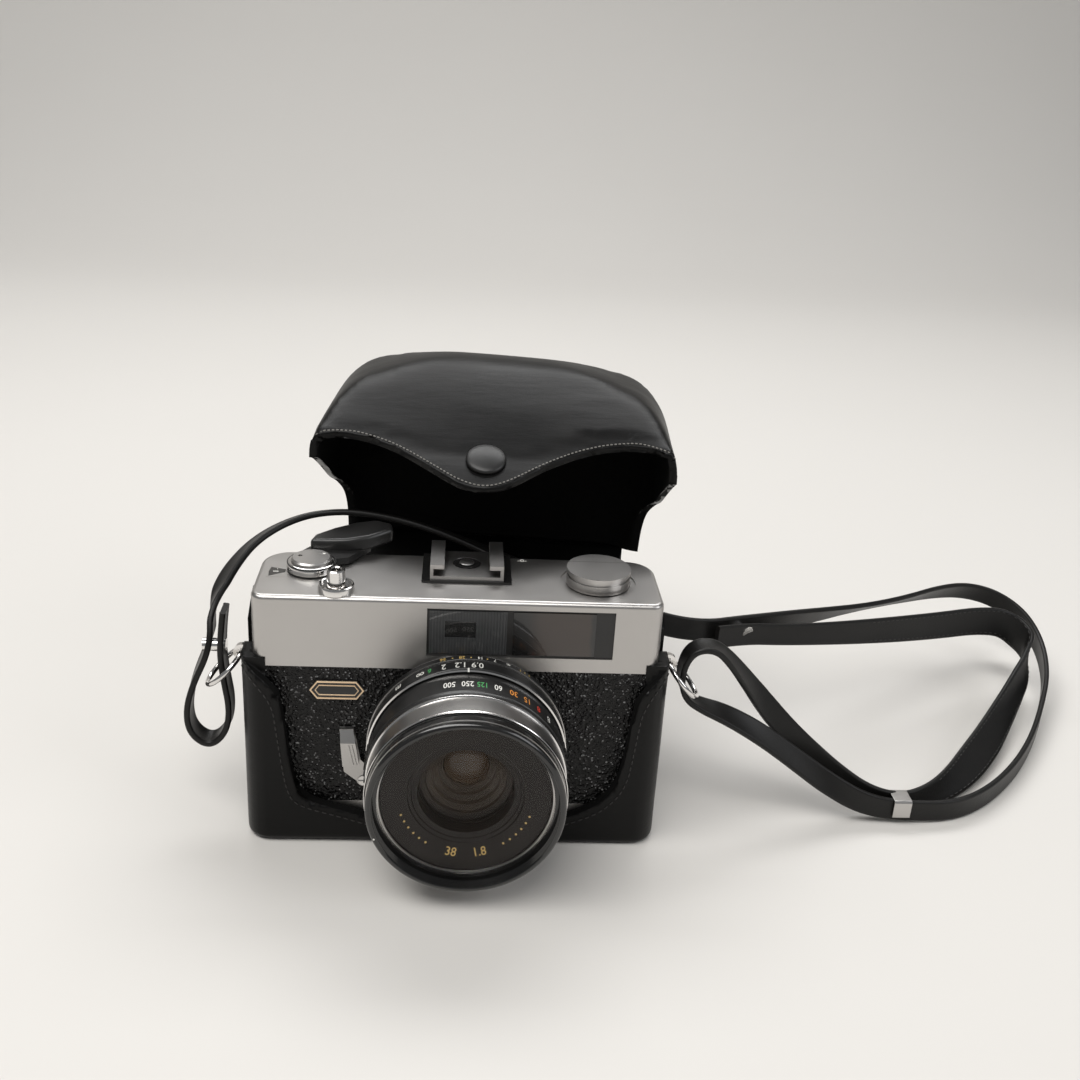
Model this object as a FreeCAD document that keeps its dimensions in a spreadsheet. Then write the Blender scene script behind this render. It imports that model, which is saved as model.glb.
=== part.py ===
"""Compact 35 mm rangefinder camera in its leather case, with the case's hood standing open and a
neck strap.  Millimetres.  +X is the viewer's right, +Y points away from the viewer and +Z is up.
The origin is the mouth of the tripod socket, on the surface that the case stands on."""
import FreeCAD, Part
import Sketcher
import math
import os

from FreeCAD import Placement, Rotation, Vector

doc = FreeCAD.newDocument("rangefinder_camera")

# ---------------------------------------------------------------- driving dimensions
TABLE = [
    # body
    ("body_width", 112.0, "camera body across, without the strap lugs"),
    ("body_depth", 30.0, "camera body from front face to back face"),
    ("body_height", 72.2, "from the base to the top of the top cover"),
    ("skin", 0.8, "sheet metal of the covers and the leatherette"),
    ("top_cover_height", 21.1, "top cover, lower edge to top"),
    ("bottom_cover_height", 7.6, "bottom cover, base to upper edge"),
    ("rear_corner", 8.0, "plan radius of the two rear corners"),
    ("front_corner", 3.5, "plan radius of the two front corners"),
    ("cover_edge", 1.3, "rounding of the top cover's upper edge"),
    ("door_thick", 1.9, "back door"),
    ("chamber_wall", 2.2, "chassis wall round the film chambers"),
    ("deck_thick", 1.2, "mechanism plate on top of the chassis"),
    # film path
    ("frame_wide", 36.0, "film gate, across"),
    ("frame_high", 24.0, "film gate, up"),
    ("cassette_reach", 13.2, "half the width of the film cassette chamber"),
    ("takeup_reach", 11.0, "half the width of the take-up chamber"),
    ("sprocket_reach", 5.9, "half the width of the sprocket chamber"),
    ("sprocket_offset", 18.6, "sprocket shaft from the take-up axis"),
    ("wheel_lift", 11.2, "lower sprocket wheel above the chamber's floor"),
    ("wheel_drop", 6.7, "upper sprocket wheel below the chamber's roof"),
    ("wheel_thick", 2.4, "sprocket wheel, thickness"),
    ("wheel_size", 4.2, "sprocket wheel, radius without its teeth"),
    ("spool_core", 6.0, "take-up spool, core radius"),
    ("spool_flange", 9.2, "take-up spool, flange radius"),
    ("axle_size", 2.0, "radius of the spool, sprocket and rewind axles"),
    ("running_gap", 0.06, "radial clearance of a turning shaft"),
    ("part_gap", 0.3, "clearance between parts that move past each other"),
    # lens, depths measured forward from the body's front face
    ("lens_across", 3.2, "lens axis, to the right of the body centre"),
    ("lens_up", 33.0, "lens axis above the table"),
    ("guide_start", 0.8, "guide number ring, rear edge"),
    ("focus_start", 3.3, "focusing ring, rear edge"),
    ("speed_start", 8.4, "shutter speed ring, rear edge"),
    ("silver_start", 20.0, "silver front barrel, rear edge"),
    ("filter_start", 28.3, "filter ring, rear edge"),
    ("lens_front", 33.4, "front edge of the filter ring"),
    ("tube_size", 22.0, "fixed lens tube, outer radius"),
    ("tube_wall", 2.5, "fixed lens tube, wall"),
    ("guide_wall", 6.0, "guide number ring, outer radius beyond the tube"),
    ("focus_wall", 5.7, "focusing ring, outer radius beyond the tube"),
    ("speed_wall", 5.2, "shutter speed ring, outer radius beyond the tube"),
    ("silver_wall", 4.6, "silver front barrel, outer radius beyond the tube"),
    ("filter_wall", 4.1, "filter ring, outer radius beyond the tube"),
    ("thread_wall", 1.6, "filter ring, wall in front of its thread"),
    ("sleeve_wall", 1.2, "filter ring, step from the thread to the sleeve"),
    ("barrel_wall", 1.6, "silver front barrel, wall of its sleeve in the tube"),
    ("mount_deep", 6.0, "seat of the lens tube behind the body's front face"),
    ("front_glass", 13.0, "front element, radius"),
    ("front_curve", 26.0, "front element, radius of curvature"),
    ("rear_glass", 9.0, "rear element, radius"),
    ("rear_curve", 22.0, "rear element, radius of curvature"),
    ("rear_bulge", 4.0, "rear element, crest behind the body's front face"),
    # base fittings
    ("cell_across", 26.0, "meter battery, from the body centre"),
    ("cell_back", -6.0, "meter battery, behind the body centre"),
    ("cell_size", 5.8, "meter battery, radius"),
    ("catch_across", -14.0, "rewind catch, from the body centre"),
    ("catch_back", 6.0, "rewind catch, behind the body centre"),
    # windows in the front of the top cover
    ("window_left", -8.7, "left end of the window strip"),
    ("window_right", 42.6, "right end of the window strip"),
    ("window_rise", 4.2, "window strip above the cover's lower edge"),
    ("window_high", 14.4, "height of the window strip"),
    ("frost_wide", 21.8, "frosted panel"),
    ("finder_left", 14.8, "viewfinder window, left edge"),
    ("finder_wide", 22.6, "viewfinder window"),
    ("range_left", -3.8, "rangefinder window, left edge"),
    ("range_wide", 8.4, "rangefinder window"),
    ("range_high", 5.0, "rangefinder window"),
    ("range_rise", 5.6, "rangefinder window above the strip's lower edge"),
    # top controls
    ("wind_inset", 14.5, "wind shaft, from the body's left end"),
    ("wind_back", 3.0, "wind shaft, behind the body centre"),
    ("wind_size", 6.8, "wind lever hub, radius"),
    ("wind_disc_size", 5.6, "disc on the hub, radius"),
    ("hub_high", 2.5, "hub above the cover"),
    ("lever_reach", 26.5, "wind lever tip from the shaft"),
    ("lever_wide", 9.0, "wind lever grip, width"),
    ("release_offset", 8.1, "shutter release, to the right of the wind shaft"),
    ("release_front", -10.2, "shutter release, in front of the body centre"),
    ("collar_size", 4.9, "release collar, radius"),
    ("collar_high", 2.0, "release collar, height"),
    ("button_size", 2.5, "release button, radius"),
    ("button_high", 6.3, "release button above the cover"),
    ("button_travel", 2.0, "release button, travel"),
    ("cable_bore", 1.25, "cable release socket, radius"),
    ("knob_across", 38.7, "rewind shaft, from the body centre"),
    ("knob_back", -0.2, "rewind shaft, behind the body centre"),
    ("knob_size", 9.0, "rewind knob, radius"),
    ("knob_high", 4.4, "rewind knob above the cover"),
    ("dish_size", 10.7, "recess round the rewind knob, radius"),
    ("dish_deep", 0.5, "recess round the rewind knob, depth"),
    ("crank_thick", 1.3, "rewind crank, thickness"),
    ("crank_split", 3.6, "split line of the crank from the knob's centre"),
    ("shoe_across", 1.8, "accessory shoe, from the body centre"),
    ("shoe_wide", 20.4, "accessory shoe, overall width"),
    ("shoe_long", 17.4, "accessory shoe, front to back"),
    ("shoe_back", 5.3, "accessory shoe's middle, behind the body centre"),
    ("shoe_slot", 18.6, "slot between the shoe's side walls"),
    ("shoe_mouth", 12.6, "mouth between the shoe's lips"),
    ("shoe_plate", 1.2, "shoe base plate and lips, thickness"),
    ("shoe_gap", 2.1, "height of the slot under the lips"),
    ("shoe_block", 25.0, "black block under the shoe, width"),
    ("counter_offset", 9.3, "counter window from the wind shaft"),
    ("counter_window", 4.6, "counter window, side"),
    ("counter_size", 10.6, "counter dial, radius"),
    # front fittings
    ("timer_clear", 0.8, "self-timer pivot, to the left of the widest lens ring"),
    ("timer_up", 20.7, "self-timer pivot above the table"),
    ("timer_reach", 17.0, "self-timer lever, pivot to tip"),
    ("timer_wide", 5.6, "self-timer lever, width of the pad"),
    ("timer_thick", 1.7, "self-timer lever, plate"),
    ("timer_pad", 1.9, "self-timer lever, pad in front of the plate"),
    ("timer_shaft", 1.6, "self-timer lever, shaft radius"),
    ("timer_screw", 1.55, "self-timer lever, screw head radius"),
    ("badge_left", -40.7, "front plate, left end"),
    ("badge_wide", 15.4, "front plate, width"),
    ("badge_low", 46.0, "front plate, lower edge above the table"),
    ("badge_high", 5.8, "front plate, height"),
    # case
    ("leather", 3.0, "leather of the half case"),
    ("leather_gap", 0.3, "leather clear of the camera"),
    ("case_floor", 4.5, "case floor, leather and board"),
    ("case_front_high", 58.5, "side walls at the front, above the table"),
    ("case_rear_high", 68.0, "side walls at the rear, above the table"),
    ("case_back_high", 57.0, "middle of the back wall, above the table"),
    ("case_corner", 7.0, "vertical corners of the case"),
    ("case_hem", 2.6, "rounding round the case's floor"),
    ("screw_head", 9.0, "case screw head, radius"),
    ("screw_head_high", 2.8, "case screw head, height"),
    ("screw_shank", 3.1, "case screw shank, radius"),
    ("socket_bore", 2.55, "tripod socket in the case screw, core radius"),
    ("socket_deep", 4.0, "tripod socket, depth"),
    ("snap_reach", 61.0, "snap cap, forward of the hood's back"),
    ("snap_drop", 17.6, "snap cap, below the hood's crown"),
    ("snap_size", 5.9, "snap cap on the flap, radius"),
    ("stud_size", 2.6, "snap stud under the case, radius"),
    # hood, in its own frame
    ("hood_wide", 109.4, "hood, across"),
    ("hood_high", 65.8, "hood, from its lower edge to the crown"),
    ("hood_droop", 7.6, "fall of the crown towards the hood's sides"),
    ("hood_flat", 24.0, "level part of the crown, half its width"),
    ("hood_long", 76.0, "hood, from its back to past the flap's tip"),
    ("hood_leather", 2.2, "leather of the hood"),
    ("hood_across", 11.9, "hood's middle, to the right of the body centre"),
    ("hood_back", 85.0, "hood's back wall, behind the body centre"),
    ("hood_up", 55.0, "hood's lower edge above the table"),
    ("hood_twist", -4.0, "hood turned about the vertical, degrees"),
    ("hood_roll", 1.2, "hood's right side down, degrees"),
    ("neck_shift", -2.6, "neck's upper end, from the hood's middle"),
    ("neck_wide", 95.0, "leather neck between the case and the hood"),
    ("neck_low", 10.0, "neck's lower end above the table"),
    # strap hardware
    ("lug_reach", 4.5, "strap lug's eye beyond the body's end"),
    ("lug_up", 53.6, "strap lug's eye above the table"),
    ("lug_back", -3.0, "strap lug, behind the body centre"),
    ("lug_size", 2.5, "strap lug, outer radius"),
    ("lug_eye", 1.5, "strap lug, hole radius"),
    ("ring_size", 6.6, "strap ring, mean radius"),
    ("ring_wire", 0.75, "strap ring, wire radius"),
    ("strap_wide", 7.0, "strap, width of its narrow ends"),
    ("shoulder_wide", 11.0, "strap, width of its shoulder part"),
    ("strap_thick", 1.8, "strap, thickness"),
    ("keeper_left", 134.4, "strap keeper, left end from the body centre"),
    ("keeper_wide", 6.0, "strap keeper, along the strap"),
    ("keeper_near", -7.2, "strap keeper, near side behind the body centre"),
    ("keeper_deep", 8.2, "strap keeper, front to back"),
    ("keeper_high", 9.6, "strap keeper, height"),
    ("keeper_wall", 0.45, "strap keeper, wall"),
]


def text_of(item):
    return item.formula if isinstance(item, Size) else repr(float(item))


def value_of(item):
    return item.value if isinstance(item, Size) else float(item)


class Size:
    """A length that carries its value and the sheet formula that gives it."""

    def __init__(self, value, formula):
        self.value = float(value)
        self.formula = formula

    def __add__(self, other):
        return Size(self.value + value_of(other), f"({self.formula} + {text_of(other)})")

    def __radd__(self, other):
        return Size(value_of(other) + self.value, f"({text_of(other)} + {self.formula})")

    def __sub__(self, other):
        return Size(self.value - value_of(other), f"({self.formula} - {text_of(other)})")

    def __rsub__(self, other):
        return Size(value_of(other) - self.value, f"({text_of(other)} - {self.formula})")

    def __mul__(self, other):
        return Size(self.value * value_of(other), f"({self.formula} * {text_of(other)})")

    __rmul__ = __mul__

    def __truediv__(self, other):
        return Size(self.value / value_of(other), f"({self.formula} / {text_of(other)})")

    def __neg__(self):
        return Size(-self.value, f"(0 - {self.formula})")


class Sheet:
    """The document's spreadsheet, with one attribute for each alias."""

    def __init__(self, table):
        sheet = doc.addObject("Spreadsheet::Sheet", "Sizes")
        for row, (alias, value, meaning) in enumerate(table, 1):
            sheet.set(f"A{row}", alias)
            sheet.set(f"B{row}", str(value))
            sheet.set(f"C{row}", meaning)
            sheet.setAlias(f"B{row}", alias)
            setattr(self, alias, Size(value, f"Sizes.{alias}"))


S = Sheet(TABLE)
doc.recompute()
nodes = {}

# places that several pieces share
half_width = S.body_width / 2
wind_across = S.wind_inset - half_width
release_across = wind_across + S.release_offset
tube_bore = S.tube_size - S.tube_wall
guide_size = S.tube_size + S.guide_wall
focus_size = S.tube_size + S.focus_wall
speed_size = S.tube_size + S.speed_wall
silver_size = S.tube_size + S.silver_wall
filter_size = S.tube_size + S.filter_wall
filter_thread = filter_size - S.thread_wall
filter_sleeve = filter_thread - S.sleeve_wall
timer_across = S.lens_across - guide_size - S.timer_clear
rear = S.body_depth / 2
front = -rear
base = S.case_floor + S.leather_gap
top = base + S.body_height
cover_low = top - S.top_cover_height
bottom_high = base + S.bottom_cover_height
inner_front = front + S.skin
door_face = rear - S.door_thick
deck_top = cover_low + S.deck_thick
ceiling = top - S.skin
chassis_low = base + S.skin
gate_left = S.lens_across - S.frame_wide / 2
gate_right = S.lens_across + S.frame_wide / 2
gate_low = S.lens_up - S.frame_high / 2
gate_high = S.lens_up + S.frame_high / 2
sprocket_across = wind_across + S.sprocket_offset
window_low = cover_low + S.window_rise
window_top = window_low + S.window_high
case_side = half_width + S.leather_gap + S.leather
case_back = rear + S.leather_gap + S.leather
cut_over = 1.0  # how far a cutting tool runs past the faces that it opens

TURN_TO_Y = Rotation(Vector(1, 0, 0), -90)
TURN_TO_FRONT = Rotation(Vector(1, 0, 0), 90)
TURN_TO_X = Rotation(Vector(0, 1, 0), 90)


# ---------------------------------------------------------------- helpers
def bind(item, name, size):
    item.setExpression(name, text_of(size))


def settle(item, x=0, y=0, z=0, turn=None):
    """Place an object, with each coordinate bound to the sheet."""
    item.Placement = Placement(Vector(value_of(x), value_of(y), value_of(z)), turn or Rotation())
    for axis, size in zip("xyz", (x, y, z)):
        if isinstance(size, Size):
            bind(item, f"Placement.Base.{axis}", size)
    return item


def node(name, item):
    """Give a finished object the label that names its file."""
    item.Label = name
    nodes[name] = item
    return item


def block(x0, x1, y0, y1, z0, z1):
    item = doc.addObject("Part::Box", "Block")
    bind(item, "Length", x1 - x0)
    bind(item, "Width", y1 - y0)
    bind(item, "Height", z1 - z0)
    return settle(item, x0, y0, z0)


def rod(radius, start, end, axis, first, second):
    """A cylinder from start to end along axis; first and second are its other two coordinates."""
    item = doc.addObject("Part::Cylinder", "Rod")
    bind(item, "Radius", radius)
    bind(item, "Height", end - start)
    if axis == "x":
        return settle(item, start, first, second, TURN_TO_X)
    if axis == "y":
        return settle(item, first, start, second, TURN_TO_Y)
    return settle(item, first, second, start)


def cut(base_item, *tools):
    for tool in tools:
        step = doc.addObject("Part::Cut", "Cut")
        step.Base = base_item
        step.Tool = tool
        base_item = step
    return base_item


def join(*items):
    step = doc.addObject("Part::MultiFuse", "Join")
    step.Shapes = list(items)
    return step


def overlap(*items):
    step = doc.addObject("Part::MultiCommon", "Overlap")
    step.Shapes = list(items)
    return step


def group(*items):
    step = doc.addObject("Part::Compound", "Group")
    step.Links = list(items)
    return step


def plane_of(body, role):
    return next(item for item in body.Origin.OriginFeatures if item.Role == role)


def sketch_outline(body, role, points):
    """A closed sketch of straight lines whose corners are bound to the sheet."""
    sketch = body.newObject("Sketcher::SketchObject", "Outline")
    sketch.AttachmentSupport = [(plane_of(body, role), "")]
    sketch.MapMode = "FlatFace"
    corners = [Vector(value_of(u), value_of(v), 0) for u, v in points]
    count = len(corners)
    for index in range(count):
        sketch.addGeometry(Part.LineSegment(corners[index], corners[(index + 1) % count]), False)
    for index in range(count):
        sketch.addConstraint(Sketcher.Constraint("Coincident", index, 2, (index + 1) % count, 1))
    for index, (u, v) in enumerate(points):
        for kind, size in (("DistanceX", u), ("DistanceY", v)):
            row = sketch.addConstraint(Sketcher.Constraint(kind, -1, 1, index, 1, value_of(size)))
            if isinstance(size, Size):
                sketch.setExpression(f"Constraints[{row}]", size.formula)
    return sketch


def round_edges(body, radius, chosen):
    """Round the edges of the body's last feature that chosen(edge) picks."""
    doc.recompute()
    before = body.Tip
    names = [f"Edge{n}" for n, edge in enumerate(before.Shape.Edges, 1) if chosen(edge)]
    fillet = body.newObject("PartDesign::Fillet", "Round")
    fillet.Base = (before, names)
    fillet.Radius = value_of(radius)
    if isinstance(radius, Size):
        bind(fillet, "Radius", radius)
    return body


def prism(role, points, length, start=0):
    """A pad of an outline: XY_Plane grows up, XZ_Plane grows forward and YZ_Plane to the right."""
    body = doc.addObject("PartDesign::Body", "Prism")
    sketch = sketch_outline(body, role, points)
    pad = body.newObject("PartDesign::Pad", "Pad")
    pad.Profile = sketch
    bind(pad, "Length", length)
    if role == "XY_Plane":
        return settle(body, 0, 0, start)
    if role == "XZ_Plane":
        return settle(body, 0, start, 0)
    return settle(body, start, 0, 0)


def turned(points, x=0, y=0, z=0, turn=None):
    """A revolution of (radius, height) points about the body's own Z axis."""
    body = doc.addObject("PartDesign::Body", "Turned")
    sketch = sketch_outline(body, "XZ_Plane", points)
    revolution = body.newObject("PartDesign::Revolution", "Revolution")
    revolution.Profile = sketch
    revolution.ReferenceAxis = (sketch, ["V_Axis"])
    revolution.Angle = 360.0
    return settle(body, x, y, z, turn)


def lens_piece(points):
    """A turned piece on the lens axis; heights are depths forward of the body's front face."""
    return turned(points, S.lens_across, front, S.lens_up, TURN_TO_FRONT)


def washer(outer, inner, low, high):
    return [(inner, low), (outer, low), (outer, high), (inner, high)]


def is_upright(edge):
    """True for a straight edge that runs along Z."""
    if not isinstance(edge.Curve, Part.Line):
        return False
    return abs(abs(edge.Curve.Direction.z) - 1) < 1e-6


def body_block(inset, low, high):
    """The body's plan outline with its rounded corners, drawn in by inset, from low to high."""
    wide = half_width - inset
    deep = rear - inset
    outline = [(-wide, -deep), (wide, -deep), (wide, deep), (-wide, deep)]
    body = prism("XY_Plane", outline, high - low, low)
    round_edges(body, S.rear_corner - inset, lambda edge: is_upright(edge) and edge.CenterOfMass.y > 0)
    round_edges(body, S.front_corner - inset, lambda edge: is_upright(edge) and edge.CenterOfMass.y < 0)
    return body




def lens_way():
    """The room that the lens tube and the shutter take up inside the body."""
    return rod(S.tube_size, front - cut_over, front + S.mount_deep + cut_over, "y", S.lens_across, S.lens_up)


# ---------------------------------------------------------------- chassis, covers and film path
def make_chassis():
    """Die-cast chassis with the film chambers, the gate and the seat of the lens tube."""
    solid = body_block(S.skin, chassis_low, cover_low)
    floor = chassis_low + S.chamber_wall
    roof = cover_low - S.chamber_wall
    inside = inner_front + S.chamber_wall
    cassette = block(S.knob_across - S.cassette_reach, S.knob_across + S.cassette_reach,
                     inside, rear, floor, roof)
    takeup = block(wind_across - S.takeup_reach, wind_across + S.takeup_reach,
                   inside, rear, floor, roof)
    sprockets = block(sprocket_across - S.sprocket_reach, sprocket_across + S.sprocket_reach,
                      inside, rear, floor, roof)
    gate = block(gate_left, gate_right, front + 6, rear, gate_low, gate_high)
    plate_seat = block(gate_left - 5, gate_right + 5, door_face - 2.2, rear, gate_low - 4, gate_high + 4)
    behind = block(-half_width, half_width, door_face, rear + cut_over, base, top)
    hole = S.axle_size + S.running_gap
    rewind_hole = rod(hole, roof - cut_over, cover_low + cut_over, "z", S.knob_across, S.knob_back)
    spool_hole = rod(hole, chassis_low - cut_over, cover_low + cut_over, "z", wind_across, S.wind_back)
    sprocket_hole = rod(hole, chassis_low - cut_over, cover_low + cut_over, "z", sprocket_across, S.wind_back)
    bush_seat = rod(S.screw_shank + 2.4, base, chassis_low + 5.4, "z", 0, 0)
    cell_seat = rod(S.cell_size + 0.4, base, chassis_low + 5.0, "z", S.cell_across, S.cell_back)
    catch_seat = rod(2.0, base, chassis_low + 4.0, "z", S.catch_across, S.catch_back)
    timer_hole = rod(S.timer_shaft + S.running_gap, front, front + 3, "y", timer_across, S.timer_up)
    node("chassis", cut(solid, cassette, takeup, sprockets, gate, plate_seat, lens_way(), behind, timer_hole,
                        rewind_hole, spool_hole, sprocket_hole, bush_seat, cell_seat, catch_seat))


def make_top_deck():
    """Plate on the chassis that carries the finder, the release and the upper ends of the axles."""
    plate = body_block(S.skin, cover_low, deck_top)
    behind = block(-half_width, half_width, door_face, rear + cut_over, base, top)
    hole = S.axle_size + S.running_gap
    over = deck_top + cut_over
    under = cover_low - cut_over
    holes = [rod(hole, under, over, "z", S.knob_across, S.knob_back),
             rod(hole, under, over, "z", wind_across, S.wind_back),
             rod(hole, under, over, "z", sprocket_across, S.wind_back)]
    post = rod(1.5, deck_top - 0.2, deck_top + 3.0, "z", release_across, S.release_front)
    node("top_deck", join(cut(plate, behind, lens_way(), *holes), post))


def make_top_cover():
    """Satin chrome top cover: one drawn shell, open below, with a hole for each control."""
    shell = body_block(0, cover_low, top)
    round_edges(shell, S.cover_edge, lambda edge: edge.CenterOfMass.z > S.top_cover_height.value - 1e-3)
    cavity = body_block(S.skin, cover_low - cut_over, ceiling)
    window = block(S.window_left, S.window_right, front - cut_over, front + 3, window_low, window_top)
    eyepiece = block(S.finder_left + 4, S.finder_left + 18, rear - 3, rear + cut_over,
                     window_low + 2, window_low + 12)
    wind_hole = rod(3.2, ceiling - cut_over, top + cut_over, "z", wind_across, S.wind_back)
    release_hole = rod(S.button_size + 0.15, ceiling - cut_over, top + cut_over, "z",
                       release_across, S.release_front)
    dish = rod(S.dish_size, top - S.dish_deep, top + cut_over, "z", S.knob_across, S.knob_back)
    rewind_hole = rod(S.axle_size + S.running_gap, ceiling - cut_over, top + cut_over, "z",
                      S.knob_across, S.knob_back)
    counter = block(wind_across - S.counter_offset - S.counter_window / 2,
                    wind_across - S.counter_offset + S.counter_window / 2,
                    S.wind_back - 5.2, S.wind_back - 5.2 + S.counter_window,
                    ceiling - cut_over, top + cut_over)
    node("top_cover", cut(shell, cavity, lens_way(), window, eyepiece, wind_hole, release_hole, dish,
                          rewind_hole, counter))


def make_bottom_cover():
    """Satin chrome bottom cover, a tray under the chassis."""
    tray = body_block(0, base, bottom_high)
    cavity = body_block(S.skin, chassis_low, bottom_high + cut_over)
    behind = block(-half_width, half_width, door_face, rear + cut_over, chassis_low, top)
    bush_hole = rod(S.screw_shank + 2.4, base - cut_over, chassis_low + cut_over, "z", 0, 0)
    cell_hole = rod(S.cell_size + 1.4, base - cut_over, chassis_low + cut_over, "z", S.cell_across, S.cell_back)
    catch_hole = rod(2.0, base - cut_over, chassis_low + cut_over, "z", S.catch_across, S.catch_back)
    node("bottom_cover", cut(tray, cavity, behind, bush_hole, cell_hole, catch_hole, lens_way()))


def make_leatherette():
    """Pebbled covering wrapped round the front and the ends between the two covers."""
    wrap = body_block(0, bottom_high, cover_low)
    inside = body_block(S.skin, bottom_high - cut_over, cover_low + cut_over)
    behind = block(-half_width - cut_over, half_width + cut_over, door_face, rear + cut_over, base, top)
    timer_hole = rod(3.0, front - cut_over, front + 2, "y", timer_across, S.timer_up)
    node("leatherette", cut(wrap, inside, behind, lens_way(), timer_hole))


def make_back_door():
    """Back door with its outer skin; the half case holds it shut."""
    slab = body_block(0, bottom_high, cover_low)
    ahead = block(-half_width - cut_over, half_width + cut_over, front - cut_over, door_face, base, top)
    node("back_door", cut(slab, ahead))
    plate = block(gate_left - 4.5, gate_right + 4.5, door_face - 1.9, door_face - 1.1,
                  gate_low - 3.5, gate_high + 3.5)
    leaf = block(gate_left + 6, gate_right - 6, door_face - 1.1, door_face, S.lens_up - 4, S.lens_up + 4)
    node("pressure_plate", join(plate, leaf))


def make_base_fittings():
    """Tripod bush, meter battery with its lid, and the film rewind catch in the base."""
    bush = turned(washer(S.screw_shank + 2.4, S.screw_shank + S.running_gap, base, chassis_low + 5.4))
    node("tripod_bush", bush)
    battery = rod(S.cell_size, chassis_low + 0.3, chassis_low + 4.9, "z", S.cell_across, S.cell_back)
    node("battery", battery)
    lid = rod(S.cell_size + 1.2, base, chassis_low, "z", S.cell_across, S.cell_back)
    coin_slot = block(S.cell_across - 5, S.cell_across + 5, S.cell_back - 0.6, S.cell_back + 0.6,
                      base - cut_over, base + 0.5)
    node("battery_cover", cut(lid, coin_slot))
    catch = rod(1.9, base, base + 3.0, "z", S.catch_across, S.catch_back)
    node("rewind_catch", catch)


def make_film_transport():
    """Take-up spool and sprocket shaft, both turned by the wind lever."""
    floor = chassis_low + S.chamber_wall
    roof = cover_low - S.chamber_wall
    low = floor + S.part_gap
    high = roof - S.part_gap
    spool = turned([(0, chassis_low), (S.axle_size, chassis_low), (S.axle_size, low),
                    (S.spool_flange, low), (S.spool_flange, low + 1.2), (S.spool_core, low + 1.2),
                    (S.spool_core, high - 1.2), (S.spool_flange, high - 1.2), (S.spool_flange, high),
                    (S.axle_size, high), (S.axle_size, deck_top - 0.4), (0, deck_top - 0.4)],
                   wind_across, S.wind_back)
    slot = block(wind_across - S.spool_core - 0.5, wind_across + S.spool_core + 0.5,
                 S.wind_back - 0.8, S.wind_back + 0.8, S.lens_up - 10, S.lens_up + 10)
    node("takeup_spool", cut(spool, slot))
    hub = turned([(0, chassis_low), (S.axle_size, chassis_low), (S.axle_size, low), (3.0, low),
                  (3.0, high), (S.axle_size, high), (S.axle_size, deck_top - 0.4), (0, deck_top - 0.4)],
                 sprocket_across, S.wind_back)
    parts = [hub]
    for middle in (floor + S.wheel_lift, roof - S.wheel_drop):
        wheel_low = middle - S.wheel_thick / 2
        wheel_high = middle + S.wheel_thick / 2
        parts.append(rod(S.wheel_size, wheel_low, wheel_high, "z", sprocket_across, S.wind_back))
        for step in range(4):
            teeth = doc.addObject("Part::Box", "Teeth")
            bind(teeth, "Length", 10.4)
            bind(teeth, "Width", 1.2)
            bind(teeth, "Height", 1.2)
            turn = Rotation(Vector(0, 0, 1), 45 * step)
            shift = turn.multVec(Vector(-5.2, -0.6, 0))
            settle(teeth, sprocket_across + shift.x, S.wind_back + shift.y, middle - 0.6, turn)
            parts.append(teeth)
    node("sprocket_shaft", join(*parts))


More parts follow.
